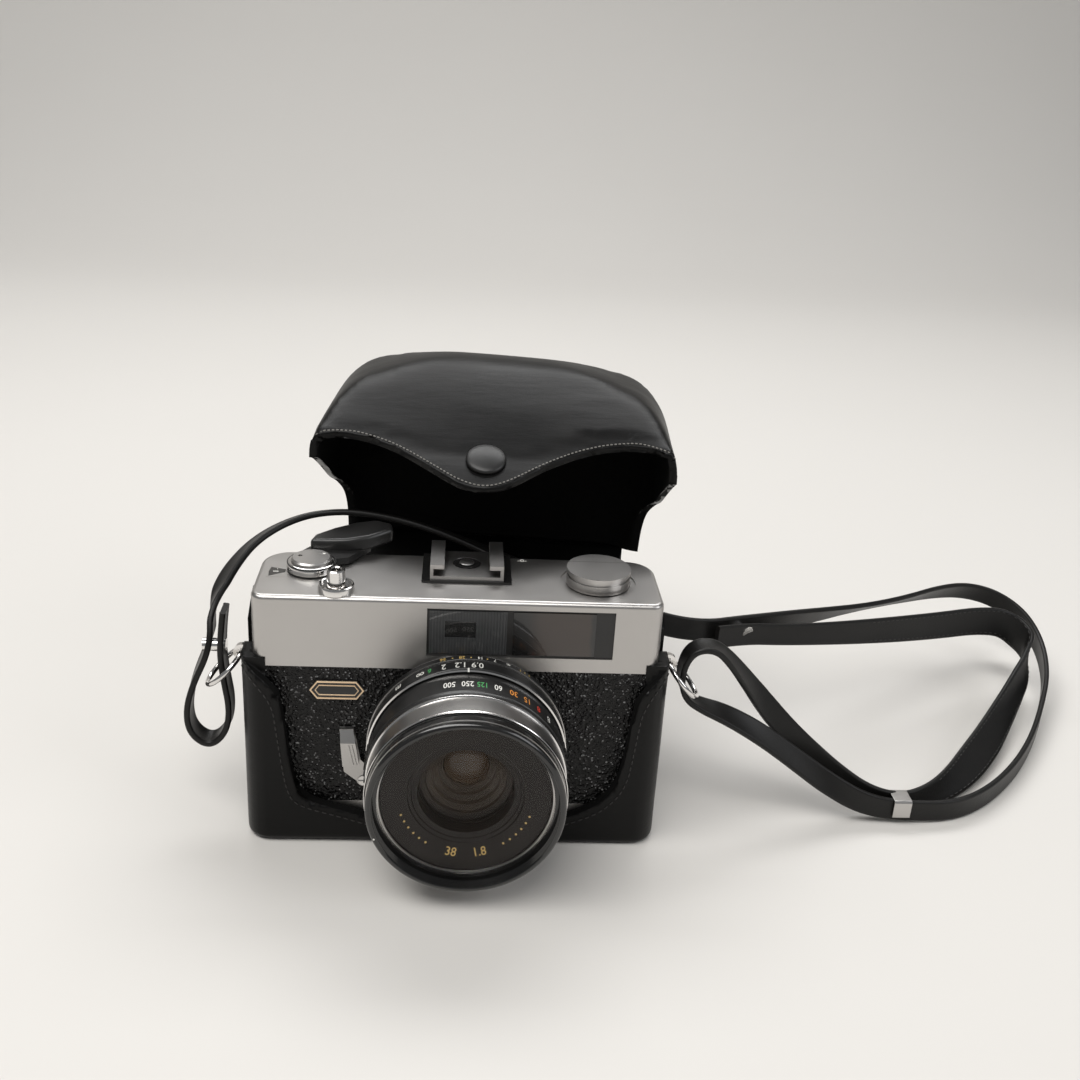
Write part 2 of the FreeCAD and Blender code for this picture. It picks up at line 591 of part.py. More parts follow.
# ---------------------------------------------------------------- finder
def make_finder():
    """Windows, finder tunnel, beam splitter, mirror and eyepiece."""
    outer = front + 0.25
    seat = front + 1.1
    back = front + 2.6
    bezel = block(S.window_left, S.window_right, outer + 0.3, back, window_low, window_top)
    frost_right = S.window_left + S.frost_wide
    range_right = S.range_left + S.range_wide
    range_low = window_low + S.range_rise
    range_top = range_low + S.range_high
    finder_right = S.finder_left + S.finder_wide
    margin = 0.7
    frost_pocket = block(S.window_left + margin, frost_right, outer, seat,
                         window_low + margin, window_top - margin)
    finder_pocket = block(S.finder_left, finder_right, outer, seat,
                          window_low + margin, window_top - margin)
    finder_hole = block(S.finder_left + 1, finder_right - 1, outer, back + cut_over,
                        window_low + margin + 1, window_top - margin - 1)
    range_hole = block(S.range_left, range_right, outer, back + cut_over, range_low, range_top)
    node("window_bezel", cut(bezel, lens_way(), frost_pocket, finder_pocket, finder_hole, range_hole))
    panel = block(S.window_left + margin, frost_right, outer, seat,
                  window_low + margin, window_top - margin)
    panel_hole = block(S.range_left, range_right, outer - cut_over, seat + cut_over, range_low, range_top)
    node("frosted_panel", cut(panel, panel_hole, lens_way()))
    finder_glass = block(S.finder_left, finder_right, outer, seat,
                         window_low + margin, window_top - margin)
    range_glass = block(S.range_left, range_right, outer + 0.3, seat + 0.5, range_low, range_top)
    node("finder_windows", group(finder_glass, range_glass))
    tunnel_left = S.range_left - 2
    tunnel_low = deck_top
    tunnel_high = ceiling
    tunnel_right = S.knob_across - S.axle_size - 0.5
    tunnel = block(tunnel_left, tunnel_right, back, rear - 3, tunnel_low, tunnel_high)
    hollow = block(tunnel_left + 1, tunnel_right - 1, back - cut_over, rear - 1.5,
                   tunnel_low + 1, tunnel_high - 1)
    node("finder_housing", cut(tunnel, hollow, lens_way()))
    for label, across in (("rangefinder_mirror", S.range_left + S.range_wide / 2),
                          ("beam_splitter", S.finder_left + S.finder_wide / 2)):
        plate = doc.addObject("Part::Box", "Plate")
        bind(plate, "Length", 12.0)
        bind(plate, "Width", 1.0)
        bind(plate, "Height", tunnel_high - tunnel_low - 2)
        turn = Rotation(Vector(0, 0, 1), 45)
        settle(plate, across - 4.2, front + 8, tunnel_low + 1, turn)
        node(label, plate)
    eye_left = S.finder_left + 4
    eye_low = window_low + 2
    frame = block(eye_left, eye_left + 14, rear - 3, rear + 0.8, eye_low, eye_low + 10)
    opening = block(eye_left + 2, eye_left + 12, rear - 3 - cut_over, rear + 0.8 + cut_over,
                    eye_low + 2, eye_low + 8)
    node("eyepiece_frame", cut(frame, opening))
    node("eyepiece_glass", block(eye_left + 2, eye_left + 12, rear - 1.6, rear - 0.4,
                                 eye_low + 2, eye_low + 8))


# ---------------------------------------------------------------- controls on the top
def make_wind_group():
    """Wind lever with its grip and disc on the wind shaft, and the frame counter under the cover."""
    hub_low = top + 0.2
    hub_high = top + S.hub_high
    hub = turned([(0, deck_top + S.part_gap), (3.0, deck_top + S.part_gap), (3.0, hub_low),
                  (S.wind_size, hub_low), (S.wind_size, hub_high), (0, hub_high)],
                 wind_across, S.wind_back)
    arm = prism("XY_Plane", [(2, 0), (10, 3), (15.5, 12), (11, 17.5), (2.5, 17), (-5, 4)],
                hub_high - top - 0.5, top + 0.5)
    settle(arm, wind_across, S.wind_back, top + 0.5)
    node("wind_lever", join(hub, arm))
    grip_low = hub_high
    inner = S.lever_reach - S.lever_wide
    points = []
    for reach, angle in ((S.lever_reach - 9.5, 92), (S.lever_reach - 4.5, 80), (S.lever_reach - 0.8, 64),
                         (S.lever_reach, 50), (S.lever_reach, 36), (inner, 30), (inner - 5, 36),
                         (inner - 8, 55), (inner - 8, 85)):
        turn = math.radians(angle)
        points.append((reach * math.cos(turn), reach * math.sin(turn)))
    grip = prism("XY_Plane", points, 3.4, grip_low)
    settle(grip, wind_across, S.wind_back, grip_low)
    round_edges(grip, 1.2, lambda edge: edge.CenterOfMass.z > 3.4 - 1e-3)
    node("wind_lever_grip", grip)
    disc = turned([(0, hub_high), (S.wind_disc_size, hub_high), (S.wind_disc_size, hub_high + 0.8),
                   (S.wind_disc_size - 0.5, hub_high + 1.2), (0, hub_high + 1.2)],
                  wind_across, S.wind_back)
    pin_hole = rod(0.6, hub_high + 0.4, hub_high + 2, "z", wind_across - 3.2, S.wind_back + 0.6)
    node("wind_disc", cut(disc, pin_hole))
    dial_top = ceiling - 0.6
    dial = turned(washer(S.counter_size, 3.0 + S.running_gap, dial_top - 0.8, dial_top),
                  wind_across, S.wind_back)
    node("counter_dial", dial)
    left = wind_across - S.counter_offset - S.counter_window / 2
    near = S.wind_back - 5.2
    node("counter_window", block(left, left + S.counter_window, near, near + S.counter_window,
                                 ceiling - 0.3, top))


def make_release():
    """Shutter release: fixed collar, sliding button with a cable socket, and its return spring."""
    button_top = top + S.button_high
    collar = turned([(S.button_size + 0.15, top), (S.collar_size, top),
                     (S.collar_size, top + S.collar_high - 0.5),
                     (S.collar_size - 0.5, top + S.collar_high),
                     (S.button_size + 0.15, top + S.collar_high)], release_across, S.release_front)
    node("shutter_collar", collar)
    bore_low = button_top - 5.0
    skirt_low = deck_top + 4.4 + S.button_travel
    button = turned([(0, bore_low - 1.2), (S.cable_bore, bore_low), (S.cable_bore, button_top - 0.3),
                     (S.cable_bore + 0.3, button_top), (S.button_size - 0.3, button_top),
                     (S.button_size, button_top - 0.3), (S.button_size, skirt_low + 2),
                     (S.button_size + 1.2, skirt_low + 2), (S.button_size + 1.2, skirt_low),
                     (0, skirt_low)], release_across, S.release_front)
    node("shutter_button", button)
    wire = 0.25
    spring_low = deck_top + wire + 0.01
    spring_high = skirt_low - wire - 0.01
    coil = 2.4
    height = value_of(spring_high - spring_low)
    helix = Part.makeHelix(height / 5, height, coil)
    section = Part.Wire([Part.makeCircle(wire, Vector(coil, 0, 0), Vector(0, 1, 0))])
    spring = doc.addObject("Part::Feature", "Spring")
    spring.Shape = Part.Wire(helix.Edges).makePipeShell([section], True, True)
    settle(spring, release_across, S.release_front, spring_low)
    node("button_spring", spring)


def make_rewind():
    """Rewind knob with its shaft and fork, and the crank that folds flush into its top."""
    knob_low = top - S.dish_deep + S.part_gap
    knob_top = top + S.knob_high
    step = knob_top - S.crank_thick
    fork_low = cover_low - 9.0
    body = turned([(0, fork_low), (S.axle_size, fork_low), (S.axle_size, knob_low), (S.knob_size, knob_low),
                   (S.knob_size, step - 0.8), (S.knob_size - 0.5, step - 0.8), (S.knob_size - 0.5, step),
                   (0, step)], S.knob_across, S.knob_back)
    rim = rod(S.knob_size, step, knob_top, "z", S.knob_across, S.knob_back)
    beyond = block(S.knob_across - 12, S.knob_across + 12, S.knob_back - 12,
                   S.knob_back + S.crank_split + 0.15, step - cut_over, knob_top + cut_over)
    prong = block(S.knob_across - 3.4, S.knob_across + 3.4, S.knob_back - 0.7, S.knob_back + 0.7,
                  fork_low - 2.5, fork_low + 1)
    finger_pocket = rod(3.4, knob_low + 0.8, knob_top, "z", S.knob_across, S.knob_back - 5.0)
    node("rewind_knob", join(cut(body, finger_pocket), cut(rim, beyond), prong))
    plate = rod(S.knob_size, step + 0.1, knob_top, "z", S.knob_across, S.knob_back)
    kept = block(S.knob_across - 12, S.knob_across + 12, S.knob_back + S.crank_split,
                 S.knob_back + 12, step - cut_over, knob_top + cut_over)
    finger = rod(2.2, knob_low + 1.4, step + 0.2, "z", S.knob_across, S.knob_back - 5.0)
    node("rewind_crank", join(cut(plate, kept), finger))


def make_shoe():
    """Accessory shoe on its black block, with the single flash contact."""
    near = S.shoe_back - S.shoe_long / 2
    far = S.shoe_back + S.shoe_long / 2
    left = S.shoe_across - S.shoe_block / 2
    right = S.shoe_across + S.shoe_block / 2
    foot = top + 0.6
    node("shoe_block", block(left, right, near - 0.6, far + 0.6, top, foot))
    shoe_left = S.shoe_across - S.shoe_wide / 2
    shoe_right = S.shoe_across + S.shoe_wide / 2
    high = foot + S.shoe_plate + S.shoe_gap + S.shoe_plate
    bar = block(shoe_left, shoe_right, near, far, foot, high)
    slot = block(S.shoe_across - S.shoe_slot / 2, S.shoe_across + S.shoe_slot / 2,
                 near - cut_over, far + cut_over, foot + S.shoe_plate, high - S.shoe_plate)
    mouth = block(S.shoe_across - S.shoe_mouth / 2, S.shoe_across + S.shoe_mouth / 2,
                  near - cut_over, far + cut_over, foot + S.shoe_plate, high + cut_over)
    contact_hole = rod(4.0, foot - cut_over, foot + S.shoe_plate + cut_over, "z",
                       S.shoe_across, S.shoe_back + 0.6)
    node("accessory_shoe", cut(bar, slot, mouth, contact_hole))
    bed = rod(4.0, foot, foot + S.shoe_plate - 0.1, "z", S.shoe_across, S.shoe_back + 0.6)
    pin = rod(2.2, foot + S.shoe_plate - 0.1, foot + S.shoe_plate + 0.25, "z",
              S.shoe_across, S.shoe_back + 0.6)
    node("flash_contact", join(bed, pin))


# ---------------------------------------------------------------- lens
def make_lens():
    """Fixed tube, turning rings, silver front barrel, filter, glass and shutter."""
    gap = 0.15
    tube = lens_piece([(tube_bore, -S.mount_deep), (S.tube_size, -S.mount_deep), (S.tube_size, 0),
                       (guide_size - 0.6, 0), (guide_size - 0.6, S.guide_start - gap),
                       (S.tube_size, S.guide_start - gap), (S.tube_size, S.silver_start - gap),
                       (tube_bore, S.silver_start - gap)])
    node("lens_tube", tube)
    bore = S.tube_size + S.running_gap
    guide = lens_piece(washer(guide_size, bore, S.guide_start, S.focus_start - gap))
    node("guide_number_ring", guide)
    focus = lens_piece([(bore, S.focus_start), (focus_size, S.focus_start),
                        (focus_size, S.speed_start - gap - 0.6),
                        (focus_size - 0.4, S.speed_start - gap), (bore, S.speed_start - gap)])
    tab = block(S.lens_across - focus_size - 4.0, S.lens_across - focus_size + 1.0,
                front - S.speed_start + gap + 0.4, front - S.focus_start - 0.4,
                S.lens_up - 2.5, S.lens_up + 2.5)
    tab_turn = Rotation(Vector(0, 1, 0), -38)
    centre = Vector(S.lens_across.value, 0, S.lens_up.value)
    shift = centre - tab_turn.multVec(centre)
    holder = doc.addObject("Part::Compound", "FocusTab")
    holder.Links = [tab]
    holder.Placement = Placement(shift, tab_turn)
    node("focus_ring", join(focus, holder))
    speed = lens_piece([(bore, S.speed_start), (speed_size, S.speed_start),
                        (speed_size, S.silver_start - gap - 1.2),
                        (silver_size + 0.3, S.silver_start - gap), (bore, S.silver_start - gap)])
    node("speed_ring", speed)
    barrel_bore = tube_bore - 0.1
    wall = S.barrel_wall
    barrel = lens_piece([(barrel_bore - wall, S.silver_start - 8), (barrel_bore, S.silver_start - 8),
                         (barrel_bore, S.silver_start + 1.5), (silver_size, S.silver_start + 1.5),
                         (silver_size, S.filter_start - 0.5), (silver_size - 0.5, S.filter_start),
                         (filter_sleeve, S.filter_start),
                         (filter_sleeve, S.silver_start + 3.5),
                         (barrel_bore - wall, S.silver_start + 3.5)])
    node("front_barrel", barrel)
    cell = S.front_glass + 1.5
    trim = lens_piece([(S.front_glass, S.silver_start + 0.6), (cell, S.silver_start + 0.6),
                       (cell, S.silver_start + 3.5), (filter_sleeve, S.silver_start + 3.5),
                       (filter_sleeve, S.filter_start - 0.2), (filter_sleeve - 1.4, S.filter_start - 0.2),
                       (S.front_glass + 2.5, S.filter_start - 2.0),
                       (S.front_glass, S.filter_start - 3.2)])
    node("front_trim_ring", trim)
    ring = lens_piece([(filter_sleeve, S.filter_start), (filter_size, S.filter_start),
                       (filter_size, S.lens_front), (filter_thread, S.lens_front),
                       (filter_thread, S.filter_start + 1.9), (filter_sleeve, S.filter_start + 1.9)])
    node("filter_ring", ring)
    node("filter_glass", lens_piece([(0, S.filter_start + 0.2), (filter_sleeve, S.filter_start + 0.2),
                                     (filter_sleeve, S.filter_start + 1.6), (0, S.filter_start + 1.6)]))
    seat = S.silver_start + 1.0
    dome = doc.addObject("Part::Sphere", "Dome")
    bind(dome, "Radius", S.front_curve)
    settle(dome, S.lens_across, front - S.filter_start + 3.4 + S.front_curve, S.lens_up)
    cylinder = rod(S.front_glass, front - S.filter_start, front - seat, "y", S.lens_across, S.lens_up)
    node("front_element", overlap(dome, cylinder))
    rear_dome = doc.addObject("Part::Sphere", "RearDome")
    bind(rear_dome, "Radius", S.rear_curve)
    settle(rear_dome, S.lens_across, front + S.rear_bulge - S.rear_curve, S.lens_up)
    rear_cylinder = rod(S.rear_glass, front - 2.0, front + 6.0, "y", S.lens_across, S.lens_up)
    node("rear_element", overlap(rear_dome, rear_cylinder))
    housing = lens_piece([(S.rear_glass, -4), (tube_bore, -4), (tube_bore, 7), (11.0, 7),
                          (11.0, 3.2), (S.rear_glass, 3.2)])
    node("shutter_housing", housing)
    leaves = []
    for k in range(3):
        leaf = doc.addObject("Part::Cylinder", "Leaf")
        bind(leaf, "Radius", 10.9)
        bind(leaf, "Height", 0.3)
        bind(leaf, "Angle", 116.0)
        turn = TURN_TO_Y.multiply(Rotation(Vector(0, 0, 1), 120 * k))
        settle(leaf, S.lens_across, front - 3.6 - 0.4 * k, S.lens_up, turn)
        leaves.append(leaf)
    node("shutter_blades", group(*leaves))


# ---------------------------------------------------------------- front fittings
def make_front_fittings():
    """Self-timer lever with its screw, and the plain plate on the front."""
    out = front - S.part_gap
    plate_face = out - S.timer_thick
    pad_face = plate_face - S.timer_pad
    left = timer_across - S.timer_wide
    tip = S.timer_up + S.timer_reach
    arm = prism("XZ_Plane",
                [(left - 1.0, tip - 0.4), (timer_across - 2.8, tip - 0.3), (timer_across - 2.2, tip - 2.4),
                 (timer_across - 0.9, S.timer_up + 6.8), (timer_across + 0.5, S.timer_up + 5.3),
                 (timer_across + 1.0, S.timer_up + 2.3), (timer_across + 1.5, S.timer_up),
                 (timer_across - 1.6, S.timer_up - 0.6), (left + 0.1, S.timer_up + 2.7),
                 (left - 0.2, S.timer_up + 5.3)], S.timer_thick, out)
    boss = rod(S.timer_screw + 0.4, plate_face, out, "y", timer_across, S.timer_up)
    pad = prism("XZ_Plane",
                [(left - 0.9, tip - 0.5), (timer_across - 2.9, tip - 0.4), (timer_across - 2.3, tip - 2.4),
                 (timer_across - 1.1, S.timer_up + 6.4), (left - 0.1, S.timer_up + 5.6)],
                S.timer_pad + 0.2, plate_face + 0.2)
    slope = prism("YZ_Plane",
                  [(pad_face - cut_over, tip - 3.8), (pad_face, tip - 3.8), (plate_face, tip - 0.2),
                   (plate_face, tip + cut_over), (pad_face - cut_over, tip + cut_over)],
                  S.timer_wide + 4, left - 2)
    grooves = [prism("XZ_Plane",
                     [(left + 1.6 + step, tip - 4.2), (left + 1.9 + step, tip - 4.2),
                      (left + 3.2 + step, S.timer_up + 6.4), (left + 2.9 + step, S.timer_up + 6.4)],
                     0.4 + cut_over, pad_face + 0.4) for step in (0.0, 0.9)]
    shaft = rod(S.timer_shaft, out, front + 2, "y", timer_across, S.timer_up)
    screw_seat = rod(S.timer_screw + S.running_gap, plate_face - cut_over, plate_face + 0.7, "y",
                     timer_across, S.timer_up)
    node("self_timer_lever", join(cut(join(arm, boss), screw_seat), shaft, cut(pad, slope, *grooves)))
    head = rod(S.timer_screw, plate_face - 0.3, plate_face + 0.7, "y", timer_across, S.timer_up)
    slot = block(timer_across - 2, timer_across + 2, plate_face - cut_over, plate_face + 0.1,
                 S.timer_up - 0.25, S.timer_up + 0.25)
    node("self_timer_screw", cut(head, slot))
    left = S.badge_left
    low = S.badge_low
    mid = low + S.badge_high / 2
    plate = prism("XZ_Plane", [(left, mid), (left + 2.2, low), (left + S.badge_wide - 2.2, low),
                               (left + S.badge_wide, mid), (left + S.badge_wide - 2.2, low + S.badge_high),
                               (left + 2.2, low + S.badge_high)], 0.5, front)
    node("front_plate", plate)


# ---------------------------------------------------------------- case
def make_case():
    """Half case of stiff leather, its screw and the snap stud under its front edge."""
    wide = case_side
    deep = case_back
    outline = [(-wide, -deep), (wide, -deep), (wide, deep), (-wide, deep)]
    outer = prism("XY_Plane", outline, S.case_rear_high, 0)
    round_edges(outer, S.case_corner, is_upright)
    round_edges(outer, S.case_hem, lambda edge: edge.CenterOfMass.z < 1e-3)
    inner_wide = half_width + S.leather_gap
    inner_deep = rear + S.leather_gap
    inside = [(-inner_wide, -inner_deep), (inner_wide, -inner_deep),
              (inner_wide, inner_deep), (-inner_wide, inner_deep)]
    cavity = prism("XY_Plane", inside, S.case_rear_high, S.case_floor)
    round_edges(cavity, S.case_corner - S.leather, is_upright)
    high = S.case_rear_high + cut_over
    mouth_half = half_width - 7.5
    floor_half = half_width - 13.0
    tip = half_width + 3.0
    ring_low = S.lens_up - guide_size
    opening = prism("XZ_Plane",
                    [(-tip - 4, high), (-tip - 4, S.case_front_high + 1), (-tip, S.case_front_high),
                     (-mouth_half, S.case_front_high - 9), (-mouth_half + 3.6, 17), (-floor_half + 1, 14),
                     (-floor_half + 14, 10.5), (S.lens_across - 17, ring_low), (S.lens_across + 17, ring_low),
                     (floor_half - 8, 10.5), (floor_half - 1, 14), (mouth_half - 1.2, 21),
                     (mouth_half + 1.6, S.case_front_high - 9), (tip, S.case_front_high),
                     (tip + 4, S.case_front_high + 1), (tip + 4, high)],
                    S.leather + 3, -inner_deep)
    sides = prism("YZ_Plane", [(-case_back - 1, S.case_front_high), (-6, S.case_front_high),
                               (9, S.case_rear_high), (case_back + 1, S.case_rear_high),
                               (case_back + 1, high), (-case_back - 1, high)],
                  wide * 2 + 2, -wide - 1)
    back_dip = block(-half_width + 8, half_width - 8, inner_deep - cut_over, case_back + cut_over,
                     S.case_back_high, high)
    slots = [block(side * half_width + low, side * half_width + low + 8, S.lug_back - S.lug_size - 0.6,
                   S.lug_back + S.lug_size + 0.6, S.lug_up - S.lug_size - 0.8, high)
             for side, low in ((-1, -7), (1, -1))]
    head_recess = rod(S.screw_head + 0.4, -1, S.screw_head_high + 0.2, "z", 0, 0)
    shank_hole = rod(S.screw_shank + 0.4, 0, S.case_floor + cut_over, "z", 0, 0)
    stud_recess = rod(S.stud_size + 0.5, -1, 2.0, "z", S.lens_across, front + 2)
    node("case_shell", cut(outer, cavity, opening, sides, back_dip, *slots,
                           head_recess, shank_hole, stud_recess))
    screw = turned([(S.socket_bore, 0), (S.screw_head - 0.5, 0), (S.screw_head, 0.5),
                    (S.screw_head, S.screw_head_high - 0.5), (S.screw_head - 0.5, S.screw_head_high),
                    (S.screw_shank, S.screw_head_high), (S.screw_shank, chassis_low + 4.6),
                    (0, chassis_low + 4.6), (0, S.socket_deep), (S.socket_bore, S.socket_deep)])
    node("case_screw", screw)
    stud = turned([(0, 0.4), (S.stud_size - 0.8, 0.4), (S.stud_size - 0.6, 1.2), (S.stud_size, 1.4),
                   (S.stud_size, 2.0), (0, 2.0)], S.lens_across, front + 2, 0)
    node("case_snap_stud", stud)


def hood_form(inset, low, reach):
    """The hood's closed form: side profile, arch and plan, drawn in by inset and reach long."""
    high = S.hood_high - inset
    half = S.hood_wide / 2 - inset
    back = -inset
    slope = 0.4537
    profile = prism("YZ_Plane", [(back, low), (back, high - 6), (back - 9, high), (back - 22, high),
                                 (-reach, high - (reach - 22) * slope), (-reach, low)], half * 2, -half)
    for depth, drop, radius in ((0, 6, 7.0), (9, 0, 12.0), (22, 0, 26.0)):
        corner = Vector(0, value_of(back) - depth, value_of(high) - drop)
        round_edges(profile, radius - inset, lambda edge, spot=corner: is_cross_edge(edge, spot))
    arch = prism("XZ_Plane", [(-half, low), (half, low), (half, high - S.hood_droop),
                              (S.hood_flat, high), (-S.hood_flat, high),
                              (-half, high - S.hood_droop)], reach, 0)
    round_edges(arch, 90.0, lambda edge: is_roof_line(edge) and abs(edge.CenterOfMass.x) < 30)
    round_edges(arch, 18.0 - inset, lambda edge: is_roof_line(edge) and abs(edge.CenterOfMass.x) > 50)
    plan = prism("XY_Plane", [(-half, -reach), (half, -reach), (half, back), (-half, back)],
                 high + 2 - low, low)
    round_edges(plan, 19.0 - inset, lambda edge: is_upright(edge) and edge.CenterOfMass.y > -30)
    return overlap(profile, arch, plan)


def is_roof_line(edge):
    """True for an edge of the arch that runs from back to front along its roof."""
    return runs_along(edge, Vector(0, 1, 0)) and edge.CenterOfMass.z > 30


def runs_along(edge, direction):
    if not isinstance(edge.Curve, Part.Line):
        return False
    return abs(abs(edge.Curve.Direction.dot(direction)) - 1) < 1e-6


def is_cross_edge(edge, spot):
    """True for the edge across the hood that passes through the corner at spot."""
    if not runs_along(edge, Vector(1, 0, 0)):
        return False
    middle = edge.CenterOfMass
    return math.hypot(middle.y - spot.y, middle.z - spot.z) < 0.01


def make_hood():
    """Hood of the case, standing open behind the camera, its neck and its snap cap."""
    outer = hood_form(0, 0, S.hood_long)
    inner = hood_form(S.hood_leather, -2, S.hood_long + 8)
    wave = [(-60, -56), (-45, -53.6), (-36, -55.4), (-28, -58.4), (-18, -64.4), (-9, -70), (-1.5, -71.6),
            (5.5, -68.6), (15.5, -60.6), (27, -54.0), (38, -50.8), (46, -50.4), (60, -56), (60, -95),
            (-60, -95)]
    front_cut = prism("XY_Plane", wave, S.hood_high + 10, -5)
    gusset = [(-95, -6), (-95, 26), (-62, 42.4), (-54, 43.0), (-47, 39.5), (-35, 32.8), (-23, 25.6),
              (-13, 20.4), (-8.4, 15.6), (-7.0, 8), (-6.6, -6)]
    side_cut = prism("YZ_Plane", gusset, S.hood_wide + 4, -S.hood_wide / 2 - 2)
    hood = cut(outer, inner, front_cut, side_cut)
    twist = Rotation(Vector(0, 0, 1), S.hood_twist.value)
    turn = twist.multiply(Rotation(Vector(0, 1, 0), S.hood_roll.value))
    settle(hood, S.hood_across, S.hood_back, S.hood_up, turn)
    node("hood_shell", hood)
    cap = turned([(0, 0), (S.snap_size - 0.6, 0), (S.snap_size, 0.7), (S.snap_size - 1.0, 1.6), (0, 2.0)])
    tilt = Rotation(Vector(1, 0, 0), 24.4)
    spot = turn.multVec(Vector(-2.2, -S.snap_reach.value, S.hood_high.value - S.snap_drop.value))
    cap.Placement = Placement(spot + Vector(S.hood_across.value, S.hood_back.value, S.hood_up.value),
                              turn.multiply(tilt))
    node("hood_snap_cap", cap)
    low = S.neck_low.value
    start = (case_back + 0.5).value
    half = S.neck_wide.value / 2
    lower = Part.makePolygon([Vector(-half, start, low), Vector(half, start, low),
                              Vector(half, start + 3.4, low), Vector(-half, start + 3.4, low),
                              Vector(-half, start, low)])
    lift = Vector(S.hood_across.value, S.hood_back.value, S.hood_up.value)
    shift = S.neck_shift.value
    corners = [Vector(shift + x, y, 0)
               for x, y in ((-half, -4.4), (half, -4.4), (half, -1.0), (-half, -1.0), (-half, -4.4))]
    upper = Part.makePolygon([turn.multVec(corner) + lift - Vector(0, 0, 0.05) for corner in corners])
    neck = doc.addObject("Part::Feature", "Neck")
    neck.Shape = Part.makeLoft([lower, upper], True, True)
    node("hood_neck", neck)


# ---------------------------------------------------------------- strap
LEFT_RING_TILT = -43.9
RIGHT_RING_TILT = 48.0


def make_strap_hardware():
    """Lugs on the body's ends and the wire rings that hang in their eyes."""
    lugs = []
    rings = []
    for side, tilt in ((-1, LEFT_RING_TILT), (1, RIGHT_RING_TILT)):
        eye = (half_width + S.lug_reach) * side
        outer = rod(S.lug_size, S.lug_back - 0.8, S.lug_back + 0.8, "y", eye, S.lug_up)
        stem_out = half_width * side
        low_x, high_x = (eye, stem_out) if side < 0 else (stem_out, eye)
        stem = block(low_x, high_x, S.lug_back - 0.8, S.lug_back + 0.8, S.lug_up - 1.2, S.lug_up + 1.2)
        hole = rod(S.lug_eye, S.lug_back - 2, S.lug_back + 2, "y", eye, S.lug_up)
        lugs.append(cut(join(outer, stem), hole))
        ring = doc.addObject("Part::Torus", "Ring")
        bind(ring, "Radius1", S.ring_size)
        bind(ring, "Radius2", S.ring_wire)
        turn = Rotation(Vector(0, 1, 0), tilt)
        away = turn.multVec(Vector(side, 0, 0))
        drop = S.ring_size + S.lug_eye - S.ring_wire - 0.1
        settle(ring, eye + drop * away.x, S.lug_back, S.lug_up + drop * away.z, turn)
        rings.append(ring)
    node("strap_lugs", group(*lugs))
    node("strap_rings", group(*rings))


# Each row is a point of the strap's middle, the lean of its width in degrees (0 stands on edge and 90 has
# its width along Y) and its width: narrow ends, and a wider shoulder part after the loop on the right.
NARROW = S.strap_wide.value
WIDE = S.shoulder_wide.value
